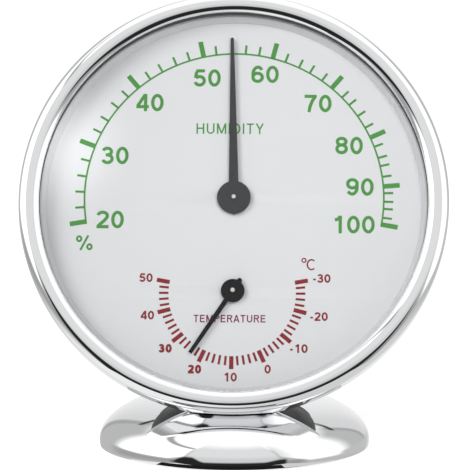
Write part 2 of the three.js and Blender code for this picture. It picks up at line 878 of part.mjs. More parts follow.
// The hollow round the boss, open below
function footHollow() {
  const dome = domeCorners(
    footInnerRadius,
    footInnerRise,
    0,
    Math.acos(footBossRadius / footInnerRadius),
    quarterSteps,
  );
  const bottom = footShellLift - cutOverrun;
  return turned([[footBossRadius, bottom], [footInnerRadius, bottom], ...dome], wideSides);
}

function footWeight() {
  const bottom = basePlateTop + seatGap;
  const bore = footBossRadius + fitGap;
  const radius = footInnerRadius - fitGap;
  const rise = footInnerRise - fitGap;
  const first = Math.asin((bottom - footRimHeight) / rise);
  const dome = domeCorners(radius, rise, first, Math.acos(bore / radius), quarterSteps);
  return turned([[bore, bottom], ...dome], wideSides);
}

function baseScrewAngles() {
  return spread(baseScrewCount, Math.PI / 2);
}

function footBasePlate() {
  let plate = disc(footInnerRadius - fitGap, padThickness, basePlateTop, wideSides);
  const low = padThickness - cutOverrun;
  const sinkTop = padThickness + baseScrewHeadHeight + seatGap;
  const hole = disc(baseScrewShankRadius + runningGap, low, basePlateTop + cutOverrun, smallSides);
  const sink = disc(baseScrewHeadRadius + runningGap, low, sinkTop, smallSides);
  for (const angle of baseScrewAngles()) {
    plate = plate.subtract(atAngle(hole.add(sink), angle, baseScrewCircle));
  }
  return plate;
}

function baseScrew() {
  return slottedScrew({
    bottom: padThickness,
    headRadius: baseScrewHeadRadius,
    headHeight: baseScrewHeadHeight,
    shankRadius: baseScrewShankRadius,
    length: baseScrewLength,
  });
}

function footPad() {
  return disc(footInnerRadius - fitGap - padInset, 0, padThickness, wideSides);
}

// Assembly
function fillCase() {
  const gasketBack = lensFront + seatGap;
  const gasket = tube(lipRadius - gasketPeek, lensRadius, gasketBack, gasketFront, wideSides);
  caseGroup.add(
    piece("bezel_ring", bezelRing(), chrome),
    piece("lens_gasket", gasket, blackRubber),
    piece("lens", disc(lensRadius, lensBack, lensFront, wideSides), glass),
    piece("spacer_ring", spacerRing(), spacerGrey),
    piece("dial_plate", dialPlate(), dialSilver),
    piece("movement_plate", movementPlate(), steel),
    piece("rear_housing", rearHousing(), blackPlastic),
    piece("rear_cover", rearCover(), blackPlastic),
    movementGroup(hygrometer),
    movementGroup(thermometer),
  );
  coverScrewAngles().forEach((angle, i) => {
    const screw = piece(`rear_cover_screw_${i + 1}`, coverScrew(), steel);
    screw.position.set(coverScrewCircle * Math.cos(angle), coverScrewCircle * Math.sin(angle), 0);
    caseGroup.add(screw);
  });
  clampPlaces.forEach((along, i) => {
    caseGroup.add(
      piece(`clamp_screw_${i + 1}`, clampScrew(along), steel),
      piece(`clamp_washer_${i + 1}`, clampWasher(along), steel),
      piece(`clamp_insert_${i + 1}`, clampInsert(along), brass),
    );
  });
}

function footGroup() {
  const group = new THREE.Group();
  group.add(
    piece("foot_shell", footShell(), chrome),
    piece("foot_weight", footWeight(), castIron),
    piece("foot_base_plate", footBasePlate(), steel),
    piece("foot_pad", footPad(), blackRubber),
  );
  baseScrewAngles().forEach((angle, i) => {
    const screw = piece(`base_plate_screw_${i + 1}`, baseScrew(), steel);
    screw.position.set(baseScrewCircle * Math.cos(angle), baseScrewCircle * Math.sin(angle), 0);
    group.add(screw);
  });
  return group;
}

const group = new THREE.Group();
fillCase();
group.add(caseGroup, footGroup());

export default group;
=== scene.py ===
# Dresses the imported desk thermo-hygrometer: smooth bodies over the CAD frame, printed scales,
# procedural materials, the studio and the camera. Lengths are millimetres until they are placed.
import json
import math

import bmesh
import bpy
from mathutils import Matrix, Vector


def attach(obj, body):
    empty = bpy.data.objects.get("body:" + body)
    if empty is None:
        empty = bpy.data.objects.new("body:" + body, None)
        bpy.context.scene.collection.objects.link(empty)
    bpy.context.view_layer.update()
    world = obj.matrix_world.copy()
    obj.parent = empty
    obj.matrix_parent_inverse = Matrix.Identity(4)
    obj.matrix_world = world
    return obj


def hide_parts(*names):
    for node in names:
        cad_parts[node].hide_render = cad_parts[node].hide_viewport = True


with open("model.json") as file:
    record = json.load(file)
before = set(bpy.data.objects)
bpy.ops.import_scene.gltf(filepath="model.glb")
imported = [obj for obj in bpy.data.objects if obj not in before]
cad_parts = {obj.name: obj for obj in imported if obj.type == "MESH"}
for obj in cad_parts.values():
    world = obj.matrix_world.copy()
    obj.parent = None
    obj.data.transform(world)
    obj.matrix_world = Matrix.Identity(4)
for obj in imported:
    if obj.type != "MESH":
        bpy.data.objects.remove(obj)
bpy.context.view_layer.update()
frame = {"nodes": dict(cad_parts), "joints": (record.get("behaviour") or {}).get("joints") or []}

MM = 0.001
SIDES = 256
SMOOTH_ANGLE = 28  # degrees: edges sharper than this stay crisp

# Pieces are made in CASE, at the dial's middle, or in FOOT, on the table
joints = {joint["name"]: joint for joint in frame["joints"]}
humidity_pin = Vector(joints["hygrometer_reading"]["pos_m"])
heat_pin = Vector(joints["thermometer_reading"]["pos_m"])
UP = (humidity_pin - heat_pin).normalized()
OUT = -Vector(joints["hygrometer_reading"]["axis"]).normalized()
RIGHT = UP.cross(OUT)
HUMIDITY_UP = 1.35
HEAT_UP = -21.3


def axes_at(origin):
    matrix = Matrix((RIGHT, UP, OUT)).transposed().to_4x4()
    matrix.translation = origin
    return matrix @ Matrix.Scale(MM, 4)


CASE = axes_at(humidity_pin - UP * HUMIDITY_UP * MM)
FOOT = Matrix.Scale(MM, 4)
CASE_BODY = "case_and_foot"

# Meshes


def arc(centre, reach, first, last, steps):
    """Points on an ellipse, angles in degrees from the first axis."""
    points = []
    for i in range(steps + 1):
        angle = math.radians(first + (last - first) * i / steps)
        points.append((centre[0] + reach[0] * math.cos(angle), centre[1] + reach[1] * math.sin(angle)))
    return points


def new_object(name, data):
    made = bpy.data.objects.new(name, data)
    bpy.context.scene.collection.objects.link(made)
    return made


def make_object(name, mesh, place):
    mesh.transform(place)
    if place.determinant() < 0:
        mesh.flip_normals()
    return new_object(name, mesh)


def evaluated_mesh(made):
    """An object's mesh with its modifiers or curve worked out."""
    bpy.context.view_layer.update()
    return bpy.data.meshes.new_from_object(made.evaluated_get(bpy.context.evaluated_depsgraph_get()))


def smooth(made):
    mesh = made.data
    mesh.polygons.foreach_set("use_smooth", [True] * len(mesh.polygons))
    mesh.set_sharp_from_angle(angle=math.radians(SMOOTH_ANGLE))
    mesh.update()
    return made


def to_mesh(work, name):
    """Ends a bmesh and keeps it as a mesh, with its faces turned outwards."""
    bmesh.ops.recalc_face_normals(work, faces=work.faces)
    mesh = bpy.data.meshes.new(name)
    work.to_mesh(mesh)
    work.free()
    return mesh


def revolved(name, outline, place, sides=SIDES):
    """A closed body turned about Z from (radius, height) corners."""
    work = bmesh.new()
    turns = [2 * math.pi * i / sides for i in range(sides)]
    rings = []
    for radius, height in outline:
        corners = [(radius * math.cos(turn), radius * math.sin(turn), height) for turn in turns]
        if radius < 1e-6:
            corners = [(0, 0, height)]
        rings.append([work.verts.new(corner) for corner in corners])
    for lower, upper in zip(rings, rings[1:] + rings[:1]):
        if len(lower) == 1 and len(upper) == 1:
            continue
        for i in range(sides):
            j = (i + 1) % sides
            near = [lower[i % len(lower)], lower[j % len(lower)]]
            far = [upper[j % len(upper)], upper[i % len(upper)]]
            work.faces.new(list(dict.fromkeys(near + far)))
    return smooth(make_object(name, to_mesh(work, name), place))


def rod(name, radius, low, high, place, sides):
    """A plain round cutter between two heights."""
    return revolved(name, [(0, low), (radius, low), (radius, high), (0, high)], place, sides)


def oblong(half, near, far):
    return [(-half, near), (half, near), (half, far), (-half, far)]


def circle(radius, centre=(0, 0), sides=96):
    return [(centre[0] + x, centre[1] + y) for x, y in arc((0, 0), (radius, radius), 0, 360, sides)[:-1]]


def rounded_bar(centre, length, width, corner):
    """Corners of a bar along X with rounded corners."""
    points = []
    for turn, sx, sy in ((0, 1, 1), (90, -1, 1), (180, -1, -1), (270, 1, -1)):
        middle = (centre[0] + sx * (length / 2 - corner), centre[1] + sy * (width / 2 - corner))
        points += arc(middle, (corner, corner), turn, turn + 90, 8)
    return points


def plate(name, outer, holes, low, high, place, edge=0.0, edge_steps=2):
    """A flat plate between two heights, with holes and softened edges."""
    curve = bpy.data.curves.new(name, "CURVE")
    curve.dimensions = "2D"
    curve.fill_mode = "BOTH"
    curve.extrude = (high - low) / 2 - edge
    curve.bevel_depth = edge
    curve.bevel_resolution = edge_steps
    curve.offset = -edge
    for points in [outer] + [hole[::-1] for hole in holes]:
        spline = curve.splines.new("POLY")
        spline.points.add(len(points) - 1)
        for corner, (x, y) in zip(spline.points, points):
            corner.co = (x, y, 0, 1)
        spline.use_cyclic_u = True
    holder = new_object(name, curve)
    drawn = evaluated_mesh(holder)
    bpy.data.objects.remove(holder)
    bpy.data.curves.remove(curve)
    work = bmesh.new()
    work.from_mesh(drawn)
    bpy.data.meshes.remove(drawn)
    bmesh.ops.remove_doubles(work, verts=work.verts, dist=1e-5)
    mesh = to_mesh(work, name)
    mesh.transform(Matrix.Translation((0, 0, (low + high) / 2)))
    return smooth(make_object(name, mesh, place))


def joined(name, parts):
    """One piece from several bodies."""
    work = bmesh.new()
    for part in parts:
        work.from_mesh(part.data)
    mesh = to_mesh(work, name)
    for part in parts:
        bpy.data.objects.remove(part)
    return smooth(make_object(name, mesh, Matrix.Identity(4)))


def cut(body, *cutters, operation="DIFFERENCE"):
    """Takes each cutter out of the body, or adds it, and removes the cutters."""
    for cutter in cutters:
        modifier = body.modifiers.new("cut", "BOOLEAN")
        modifier.operation = operation
        modifier.solver = "EXACT"
        modifier.object = cutter
    mesh = evaluated_mesh(body)
    body.modifiers.clear()
    body.data = mesh
    for cutter in cutters:
        bpy.data.objects.remove(cutter)
    return smooth(body)


def dress(piece, finish, slot, *nodes, body=CASE_BODY):
    """Gives a piece its body and material and hides the CAD nodes that it stands for; its slot is not used.
    """
    piece.data.materials.clear()
    piece.data.materials.append(finish)
    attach(piece, body)
    if nodes:
        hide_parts(*nodes)


# Materials
NOISE_LOW = 0.3  # most of a noise lies between these two
NOISE_HIGH = 0.7


class Nodes:
    """Short ways to make and join the nodes of one tree."""

    def __init__(self, tree):
        self.tree = tree
        tree.nodes.clear()

    def add(self, kind, **settings):
        node = self.tree.nodes.new(kind)
        for key, value in settings.items():
            setattr(node, key, value)
        return node

    def link(self, output, socket):
        self.tree.links.new(output, socket)

    def feed(self, socket, value):
        if isinstance(value, bpy.types.NodeSocket):
            self.link(value, socket)
        else:
            socket.default_value = value

    def fill(self, node, sockets):
        """Feeds a node's inputs by name or number."""
        for name, value in sockets.items():
            self.feed(node.inputs[name], value)
        return node

    def join(self, kind, *values, **settings):
        """A node with its inputs fed in order; gives its first output."""
        node = self.add(kind, **settings)
        for socket, value in zip(node.inputs, values):
            self.feed(socket, value)
        return node.outputs[0]

    def math(self, operation, *values):
        return self.join("ShaderNodeMath", *values, operation=operation)

    def step(self, value, low, high, first=0.0, last=1.0):
        """Goes smoothly from first to last as value goes from low to high."""
        node = self.add("ShaderNodeMapRange", interpolation_type="SMOOTHSTEP", clamp=True)
        self.fill(node, {"Value": value, "From Min": low, "From Max": high, "To Min": first, "To Max": last})
        return node.outputs["Result"]

    def noise(self, place, scale, detail):
        node = self.fill(self.add("ShaderNodeTexNoise"), {"Vector": place, "Scale": scale, "Detail": detail})
        return node.outputs["Fac"]

    def stretched(self, place, scale):
        return self.fill(self.add("ShaderNodeMapping"), {"Vector": place, "Scale": scale}).outputs["Vector"]

    def blend(self, share, first, last):
        node = self.add("ShaderNodeMix", data_type="RGBA")
        return self.fill(node, {0: share, 6: first, 7: last}).outputs[2]

    def either_ray(self, first, second):
        """1 for a ray of either kind."""
        path = self.add("ShaderNodeLightPath")
        return self.math("MAXIMUM", path.outputs[first], path.outputs[second])

    def bump(self, height, strength, distance):
        node = self.add("ShaderNodeBump")
        self.fill(node, {"Height": height, "Strength": strength, "Distance": distance})
        return node.outputs["Normal"]


def shade(colour, factor=1.0):
    return tuple(channel * factor for channel in colour) + (1.0,)


def new_material(name):
    material = bpy.data.materials.new(name)
    material.use_nodes = True
    nodes = Nodes(material.node_tree)
    out = nodes.add("ShaderNodeOutputMaterial")
    shader = nodes.add("ShaderNodeBsdfPrincipled")
    nodes.link(shader.outputs[0], out.inputs["Surface"])
    place = nodes.add("ShaderNodeTexCoord").outputs["Object"]
    return material, nodes, shader, place, out


def mottled(
    name, colour, spread, scale, roughness=0.5, rough_spread=0.06, grain=None, metallic=0.0, specular=0.5,
):
    """A surface whose colour and roughness drift a little, with an optional fine grain."""
    material, nodes, shader, place, _ = new_material(name)
    drift = nodes.noise(place, scale, 3.0)
    tone = nodes.blend(drift, shade(colour, 1 - spread), shade(colour, 1 + spread))
    patches = nodes.noise(place, scale * 2.3, 4.0)
    rough = nodes.step(patches, NOISE_LOW, NOISE_HIGH, roughness - rough_spread, roughness + rough_spread)
    sockets = {"Base Color": tone, "Roughness": rough, "Metallic": metallic, "Specular IOR Level": specular}
    if grain:
        grain_scale, strength, depth = grain
        sockets["Normal"] = nodes.bump(nodes.noise(place, grain_scale, 2.0), strength, depth)
    nodes.fill(shader, sockets)
    return material


def polished(name, colour, roughness, rough_spread):
    """Mirror-polished metal with faint wiping marks in its gloss."""
    material, nodes, shader, place, _ = new_material(name)
    haze = nodes.noise(place, 60.0, 3.0)
    wipes = nodes.noise(nodes.stretched(place, (90.0, 90.0, 700.0)), 1.0, 4.0)
    both = nodes.math("MULTIPLY", haze, wipes)
    rough = nodes.step(both, 0.15, 0.45, roughness, roughness + rough_spread)
    tone = nodes.blend(haze, shade(colour, 0.985), shade(colour, 1.0))
    nodes.fill(shader, {"Base Color": tone, "Roughness": rough, "Metallic": 1.0})
    return material


def brushed(name, colour, roughness, lines_per_metre):
    """Metal with fine lines, which run along the axes that have the fewest to a metre."""
    material, nodes, shader, place, _ = new_material(name)
    lines = nodes.noise(nodes.stretched(place, lines_per_metre), 1.0, 4.0)
    tone = nodes.blend(lines, shade(colour, 0.82), shade(colour, 1.08))
    rough = nodes.step(lines, NOISE_LOW, NOISE_HIGH, roughness * 0.75, roughness * 1.25)
    dents = nodes.bump(lines, 0.15, 0.00005)
    nodes.fill(shader, {"Base Color": tone, "Roughness": rough, "Normal": dents, "Metallic": 1.0})
    return material


def clear_glass(name, tint, bend, smear):
    """Clear glass that lets the lamps through to the dial."""
    material, nodes, shader, place, out = new_material(name)
    rough = nodes.step(nodes.noise(place, 45.0, 2.0), 0.55, 0.8, 0.0, smear)
    sockets = {"Base Color": shade(tint), "Transmission Weight": 1.0, "IOR": bend, "Roughness": rough}
    nodes.fill(shader, sockets)
    clear = nodes.join("ShaderNodeBsdfTransparent")
    through = nodes.either_ray("Is Shadow Ray", "Is Diffuse Ray")
    mix = nodes.join("ShaderNodeMixShader", through, shader.outputs[0], clear)
    nodes.link(mix, out.inputs["Surface"])
    return material


def ink(name, colour):
    return mottled(name, colour, spread=0.07, scale=400.0, rough_spread=0.05, specular=0.05)


def paint(name, colour, spread):
    """The dull paint of a pointer."""
    return mottled(name, colour, spread, scale=160.0, grain=(3000.0, 0.1, 0.00003), specular=0.03)


# A grain is its scale, its strength and its depth in metres
chrome = polished("chrome", (0.93, 0.935, 0.945), roughness=0.025, rough_spread=0.03)
dial_face = mottled(
    "dial_silver", (0.745, 0.745, 0.765), spread=0.012, scale=35.0, roughness=0.55, rough_spread=0.05,
    grain=(2600.0, 0.05, 0.00003), specular=0.3,
)
spacer_face = mottled("spacer_grey", (0.64, 0.64, 0.655), 0.02, 60.0, grain=(1500.0, 0.05, 0.00003))
black_case = mottled(
    "black_plastic", (0.014, 0.014, 0.015), spread=0.12, scale=80.0, roughness=0.42,
    grain=(1400.0, 0.35, 0.00012),
)
rubber = mottled(
    "black_rubber", (0.03, 0.032, 0.036), spread=0.15, scale=120.0, roughness=0.7, rough_spread=0.08,
    grain=(1800.0, 0.3, 0.0001),
)
gasket_rubber = mottled(
    "gasket_rubber", (0.085, 0.088, 0.094), spread=0.1, scale=120.0, roughness=0.6, rough_spread=0.08,
    grain=(1800.0, 0.2, 0.00008),
)
iron = mottled(
    "cast_iron", (0.1, 0.1, 0.105), spread=0.2, scale=150.0, roughness=0.65, rough_spread=0.1,
    grain=(900.0, 0.6, 0.0003), metallic=0.7,
)
grey_needle = paint("needle_grey", (0.05, 0.05, 0.053), spread=0.08)
black_needle = paint("needle_black", (0.006, 0.006, 0.007), spread=0.1)
green_ink = ink("ink_green", (0.075, 0.29, 0.06))
red_ink = ink("ink_red", (0.25, 0.022, 0.028))
plum_ink = ink("ink_plum", (0.21, 0.018, 0.09))
spindle_metal = brushed("spindle_metal", (0.78, 0.74, 0.66), 0.3, (2500.0, 2500.0, 300.0))
brass = brushed("brass", (0.74, 0.56, 0.25), 0.28, (2500.0, 2500.0, 300.0))
coil_metal = brushed("coil_metal", (0.66, 0.5, 0.3), 0.35, (400.0, 400.0, 3000.0))
steel = brushed("steel", (0.6, 0.61, 0.62), 0.32, (300.0, 2500.0, 2500.0))
glass = clear_glass("glass", tint=(0.97, 0.985, 0.98), bend=1.25, smear=0.012)

# Camera
AIM = Vector((0.0, 0.0, 0.052))
CAMERA_AZIMUTH = 1.91
CAMERA_ELEVATION = 7.56
CAMERA_DISTANCE = 0.8
PHOTO_WIDTH = 470
FOCAL_PIXELS = 3347.45
SENSOR = 36.0


def towards(azimuth, elevation):
    """Unit vector from the object towards that side; azimuth 0 is the front, 90 the +X side."""
    a, e = math.radians(azimuth), math.radians(elevation)
    return Vector((math.sin(a) * math.cos(e), -math.cos(a) * math.cos(e), math.sin(e)))


def make_camera():
    data = bpy.data.cameras.new("camera")
    data.sensor_width = SENSOR
    data.lens = FOCAL_PIXELS * SENSOR / PHOTO_WIDTH
    data.shift_x = 0.0013
    data.shift_y = -0.006
    camera = new_object("camera", data)
    back = towards(CAMERA_AZIMUTH, CAMERA_ELEVATION)
    camera.location = AIM + back * CAMERA_DISTANCE
    camera.rotation_mode = "QUATERNION"
    camera.rotation_quaternion = (-back).to_track_quat("-Z", "Y")
    bpy.context.scene.camera = camera


make_camera()

# Ring, glass and dial; heights are along the case's axis, from the face of the dial
RING_RADIUS = 51.0
LIP_RADIUS = 46.0
LIP_ANGLE = 58.4
LIP_FRONT = 4.7
LIP_BACK = 4.0
LIP_EDGE = 0.16
BEAD_RADIUS = (RING_RADIUS - LIP_RADIUS) / (1 + math.sin(math.radians(LIP_ANGLE)))
BEAD_CENTRE = RING_RADIUS - BEAD_RADIUS
BEAD_FRONT = LIP_FRONT - BEAD_RADIUS * math.cos(math.radians(LIP_ANGLE))
RING_WALL = 4.2
BEAD_BACK = BEAD_FRONT - RING_WALL
RING_BACK = BEAD_BACK - BEAD_RADIUS
RING_BORE = 47.2
SKIRT_BORE = 47.75  # clears the housing's shoulder, which it covers
SKIRT_TOP = -2.0
SKIRT_EDGE = 0.15
GASKET_INNER = 45.9
GASKET_OUTER = 46.85
GASKET_BACK = 3.5
GASKET_FRONT = 3.9
GASKET_SAG = 0.25
SEAT_RADIUS = 46.9  # of the glass, the spacer and the housing's mouth, inside the ring
GLASS_BACK = 2.0
GLASS_FRONT = 3.4
SPACER_BACK = 0.1
SPACER_FRONT = 1.9
SPACER_BACK_BORE = 44.6
SPACER_FRONT_BORE = 45.66
DIAL_RADIUS = 45.2
DIAL_THICKNESS = 0.8
PIN_HOLE = 1.4


def ring():
    """A bead in front, a short wall, a rounded back edge and a skirt inside."""
    reach = (BEAD_RADIUS, BEAD_RADIUS)
    outline = arc((BEAD_CENTRE, BEAD_BACK), reach, -90, 0, 24)
    outline += arc((BEAD_CENTRE, BEAD_FRONT), reach, 0, 90 + LIP_ANGLE - 2, 64)
    outline += arc((LIP_RADIUS + LIP_EDGE, LIP_BACK + LIP_EDGE), (LIP_EDGE, LIP_EDGE), 180, 270, 4)
    outline += [(RING_BORE, LIP_BACK), (RING_BORE, SKIRT_TOP), (SKIRT_BORE, SKIRT_TOP)]
    outline += [(SKIRT_BORE, RING_BACK + SKIRT_EDGE), (SKIRT_BORE + SKIRT_EDGE, RING_BACK)]
    made = revolved("polished_ring", outline, CASE, 384)
    dress(made, chrome, "chrome", "bezel_ring")


def gasket():
    """Sits a little low in the ring, so that it shows at the top and hardly at the bottom."""
    soft = 0.05
    inner, outer = GASKET_INNER, GASKET_OUTER
    outline = [(inner, GASKET_BACK + soft), (inner + soft, GASKET_BACK), (outer, GASKET_BACK)]
    outline += [(outer, GASKET_FRONT), (inner + soft, GASKET_FRONT), (inner, GASKET_FRONT - soft)]
    place = CASE @ Matrix.Translation((0, -GASKET_SAG, 0))
    dress(revolved("gasket", outline, place), gasket_rubber, "black_rubber", "lens_gasket")


def window():
    soft = 0.1
    flat, rim = SEAT_RADIUS - soft, SEAT_RADIUS
    outline = [(0, GLASS_BACK), (flat, GLASS_BACK), (rim, GLASS_BACK + soft)]
    outline += [(rim, GLASS_FRONT - soft), (flat, GLASS_FRONT), (0, GLASS_FRONT)]
    dress(revolved("window", outline, CASE), glass, "glass", "lens")


def spacer():
    outline = [(SPACER_BACK_BORE, SPACER_BACK), (SEAT_RADIUS, SPACER_BACK), (SEAT_RADIUS, SPACER_FRONT)]
    outline += [(SPACER_FRONT_BORE, SPACER_FRONT), (SPACER_FRONT_BORE - 0.1, SPACER_FRONT - 0.06)]
    dress(revolved("spacer", outline, CASE), spacer_face, "spacer", "spacer_ring")


def dial():
    holes = [circle(PIN_HOLE, (0, up), 48) for up in (HUMIDITY_UP, HEAT_UP)]
    face = circle(DIAL_RADIUS, sides=SIDES)
    made = plate("dial", face, holes, -DIAL_THICKNESS, 0.0, CASE, edge=0.05, edge_steps=1)
    dress(made, dial_face, "dial", "dial_plate")


ring()
gasket()
window()
spacer()
dial()

# Printing on the dial
INK_LOW = 0.004
INK_HIGH = 0.02
INK_STEP = 0.0015
INK_LEVELS = 5  # heights that strokes take in turn, so that they may cross


class Print:
    """Collects thin closed strokes on the dial, then makes one piece of them."""

    def __init__(self):
        self.work = bmesh.new()
        self.count = 0

    def sides_of(self, points, half, closed):
        """The left and right edge of a ribbon at each of its points."""
        count = len(points)
        sides = []
        for i in range(count):
            here = Vector(points[i])
            before = Vector(points[(i - 1) % count]) if closed or i else None
            after = Vector(points[(i + 1) % count]) if closed or i + 1 < count else None
            first = (here - before).normalized() if before is not None else (after - here).normalized()
            last = (after - here).normalized() if after is not None else first
            along = (first + last).normalized()
            across = Vector((-along.y, along.x))
            lean = max(across.dot(Vector((-first.y, first.x))), 0.5)
            sides.append((here + across * half / lean, here - across * half / lean))
        return sides

    def stroke(self, points, half):
        """A ribbon of even width along the points, closed where the last point is the first."""
        closed = math.dist(points[0], points[-1]) < 1e-6 and len(points) > 3
        if closed:
            points = points[:-1]
        self.count += 1
        high = INK_HIGH + INK_STEP * (self.count % INK_LEVELS)
        rows = []
        for left, right in self.sides_of(points, half, closed):
            corners = ((left, high), (right, high), (right, INK_LOW), (left, INK_LOW))
            rows.append([self.work.verts.new((place.x, place.y, z)) for place, z in corners])
        following = rows[1:] + rows[:1] if closed else rows[1:]
        for near, far in zip(rows, following):
            for i in range(4):
                j = (i + 1) % 4
                self.work.faces.new((near[i], near[j], far[j], far[i]))
        if not closed:
            self.work.faces.new(rows[0][::-1])
            self.work.faces.new(rows[-1])

    def finish(self, name, colour):
        dress(make_object(name, to_mesh(self.work, name), CASE), colour, "dial")


# Marks are the centre lines of their strokes, one unit high; h is half the stroke
DIGIT_WIDTH = 0.70
WAIST = 0.53


def bowls(h):
    """Centre and reach of the upper and of the lower bowl of an 8."""
    w = DIGIT_WIDTH
    top = ((w / 2, (1 - h + WAIST) / 2), (w / 2 - h - 0.02, (1 - h - WAIST) / 2))
    low = ((w / 2, (h + WAIST) / 2), (w / 2 - h, (WAIST - h) / 2))
    return top, low


def digits(h):
    w = DIGIT_WIDTH
    top, low = bowls(h)
    two_bend = arc((w / 2, 0.70), (w / 2 - h, 0.30 - h), 168, -22, 24)
    two_bend += [(0.47, 0.46), (0.33, 0.335), (0.2, 0.225), (0.115, 0.12)]
    three_top = arc((w * 0.48, top[0][1]), (w * 0.46 - h, top[1][1]), 163, -90, 26)
    five_bowl = arc((w / 2, 0.335), (w / 2 - h, 0.335 - h), 142, -162, 30)
    six_bowl = arc((w / 2, 0.325), (w / 2 - h, 0.325 - h), 0, 360, 36)
    six = [six_bowl, arc((w / 2 + 0.015, 0.5), (w / 2 + 0.015 - h, 0.5 - h), 38, 196, 24)]
    lines = {
        "0": [arc((w / 2, 0.5), (w / 2 - h, 0.5 - h), 90, 450, 40)],
        "1": [[(0.45, 0), (0.45, 1)], [(0.15, 0.76), (0.27, 0.785), (0.37, 0.845), (0.435, 0.95)]],
        "2": [two_bend, [(0.02, h), (w - 0.01, h)]],
        "3": [three_top, arc(low[0], low[1], 90, -164, 28), [(0.25, WAIST), (0.36, WAIST)]],
        "4": [[(0.52, 0), (0.52, 1)], [(0.50, 0.96), (0.07, 0.29)], [(0.01, 0.265), (w, 0.265)]],
        "5": [[(0.15, 1 - h), (0.64, 1 - h)], [(0.185, 1 - h * 1.6), (0.12, 0.5)], five_bowl],
        "6": six,
        "7": [[(0.02, 1 - h), (w, 1 - h)], [(w - h, 1 - h * 1.2), (0.46, 0.66), (0.33, 0.33), (0.27, 0)]],
        "8": [arc(top[0], top[1], 0, 360, 32), arc(low[0], low[1], 0, 360, 36)],
        "9": [[(w - x, 1 - y) for x, y in line] for line in six],
    }
    return {mark: (strokes, w) for mark, strokes in lines.items()}


def signs(h):
    percent = [
        arc((0.21, 0.77), (0.21 - h, 0.23 - h), 0, 360, 28),
        arc((0.90, 0.23), (0.21 - h, 0.23 - h), 0, 360, 28),
        [(0.30, 0.0), (0.81, 1.0)],
    ]
    return {
        "-": ([[(0.0, 0.38), (0.30, 0.38)]], 0.34),
        "%": (percent, 1.11),
        "C": ([arc((0.42, 0.5), (0.42 - h, 0.5 - h), 48, 312, 36)], 0.80),
    }


def bow(h, centre, reach, low, steps=18):
    """The bow of a D, P or R, from the top of its stem to a height on it."""
    return [(h, 1 - h)] + arc(centre, reach, 90, -90, steps) + [(h, low)]


def letters(h):
    stem = [(h, 0), (h, 1)]
    u_bend = arc((0.36, 0.36), (0.36 - h, 0.36 - h), 180, 360, 20)
    m_strokes = [[(h, 1), (0.43, 0.05)], [(0.43, 0.05), (0.86 - h, 1)], [(0.86 - h, 0), (0.86 - h, 1)]]
    e_arms = [[(h, 1 - h), (0.62, 1 - h)], [(h, WAIST), (0.58, WAIST)], [(h, h), (0.64, h)]]
    d_bow = bow(h, (0.34, 0.5), (0.38 - h, 0.5 - h), h, 22)
    p_bow = bow(h, (0.38, 0.725), (0.27 - h / 2, 0.275 - h), 0.45 + h)
    r_bow = bow(h, (0.40, 0.735), (0.27 - h / 2, 0.265 - h), 0.47 + h)
    return {
        "H": ([stem, [(0.72 - h, 0), (0.72 - h, 1)], [(h, WAIST), (0.72 - h, WAIST)]], 0.72),
        "U": ([[(h, 1)] + u_bend + [(0.72 - h, 1)]], 0.72),
        "M": ([stem] + m_strokes, 0.86),
        "I": ([stem], 2 * h),
        "D": ([stem, d_bow], 0.72),
        "T": ([[(0, 1 - h), (0.64, 1 - h)], [(0.32, 0), (0.32, 1 - h)]], 0.64),
        "Y": ([[(0.03, 1), (0.34, 0.44)], [(0.65, 1), (0.34, 0.44)], [(0.34, 0.46), (0.34, 0)]], 0.68),
        "E": ([stem] + e_arms, 0.64),
        "P": ([stem, p_bow], 0.65),
        "R": ([stem, r_bow, [(0.40, 0.5), (0.66, 0.0)]], 0.70),
        "A": ([[(0.02, 0), (0.345, 1)], [(0.345, 1), (0.67, 0)], [(0.13, 0.31), (0.56, 0.31)]], 0.69),
    }


def write(sheet, text, centre, height, stroke, space):
    """Writes text centred on a place, upright on the dial."""
    h = stroke / height / 2
    marks = {**digits(h), **signs(h), **letters(h)}
    width = sum(marks[mark][1] for mark in text) + space * (len(text) - 1)
    x = -width / 2
    for mark in text:
        lines, advance = marks[mark]
        for line in lines:
            points = [(centre[0] + (x + px) * height, centre[1] + (py - 0.5) * height) for px, py in line]
            sheet.stroke(points, stroke / 2)
        x += advance + space


def ray(angle, radius, centre=(0.0, 0.0)):
    """A point at an angle clockwise from the top of a scale or circle."""
    turn = math.radians(angle)
    return (centre[0] + radius * math.sin(turn), centre[1] + radius * math.cos(turn))


def tick(sheet, angle, inner, outer, width, centre):
    sheet.stroke([ray(angle, inner, centre), ray(angle, outer, centre)], width / 2)


# Angles of the marks in degrees clockwise from the top; the humidity scale isn't even
HUMIDITY_MAIN = {
    20: -99.5, 30: -69.3, 40: -40.5, 50: -12.4, 60: 14.5, 70: 40.4, 80: 65.2, 90: 85.2, 100: 100.2,
}
HUMIDITY_BETWEEN = (
    -93.8, -87.8, -81.7, -75.5, -63.5, -58.1, -51.7, -45.9, -34.9, -29.4, -23.4, -18.0,
    -7.4, -1.5, 3.9, 9.1, 19.6, 25.3, 30.0, 35.6, 45.8, 49.9, 55.4, 60.8,
    69.1, 73.8, 77.1, 81.4, 87.9, 91.2, 94.0, 97.5,
)
HUMIDITY_PLACES = {
    20: (-29.4, -4.0), 30: (-28.55, 11.7), 40: (-20.4, 24.8), 50: (-6.8, 30.95), 60: (7.1, 31.9),
    70: (19.8, 24.7), 80: (27.3, 14.35), 90: (29.9, 4.2), 100: (28.4, -5.0),
}
HUMIDITY_LINE = 35.6  # radius of the line that the marks stand on
HEAT_CENTRE = (-0.15, -21.85)
HEAT_TURN_AT_TEN = 180.05
HEAT_TURN_PER_TEN = 25.07
HEAT_INNER = 15.05
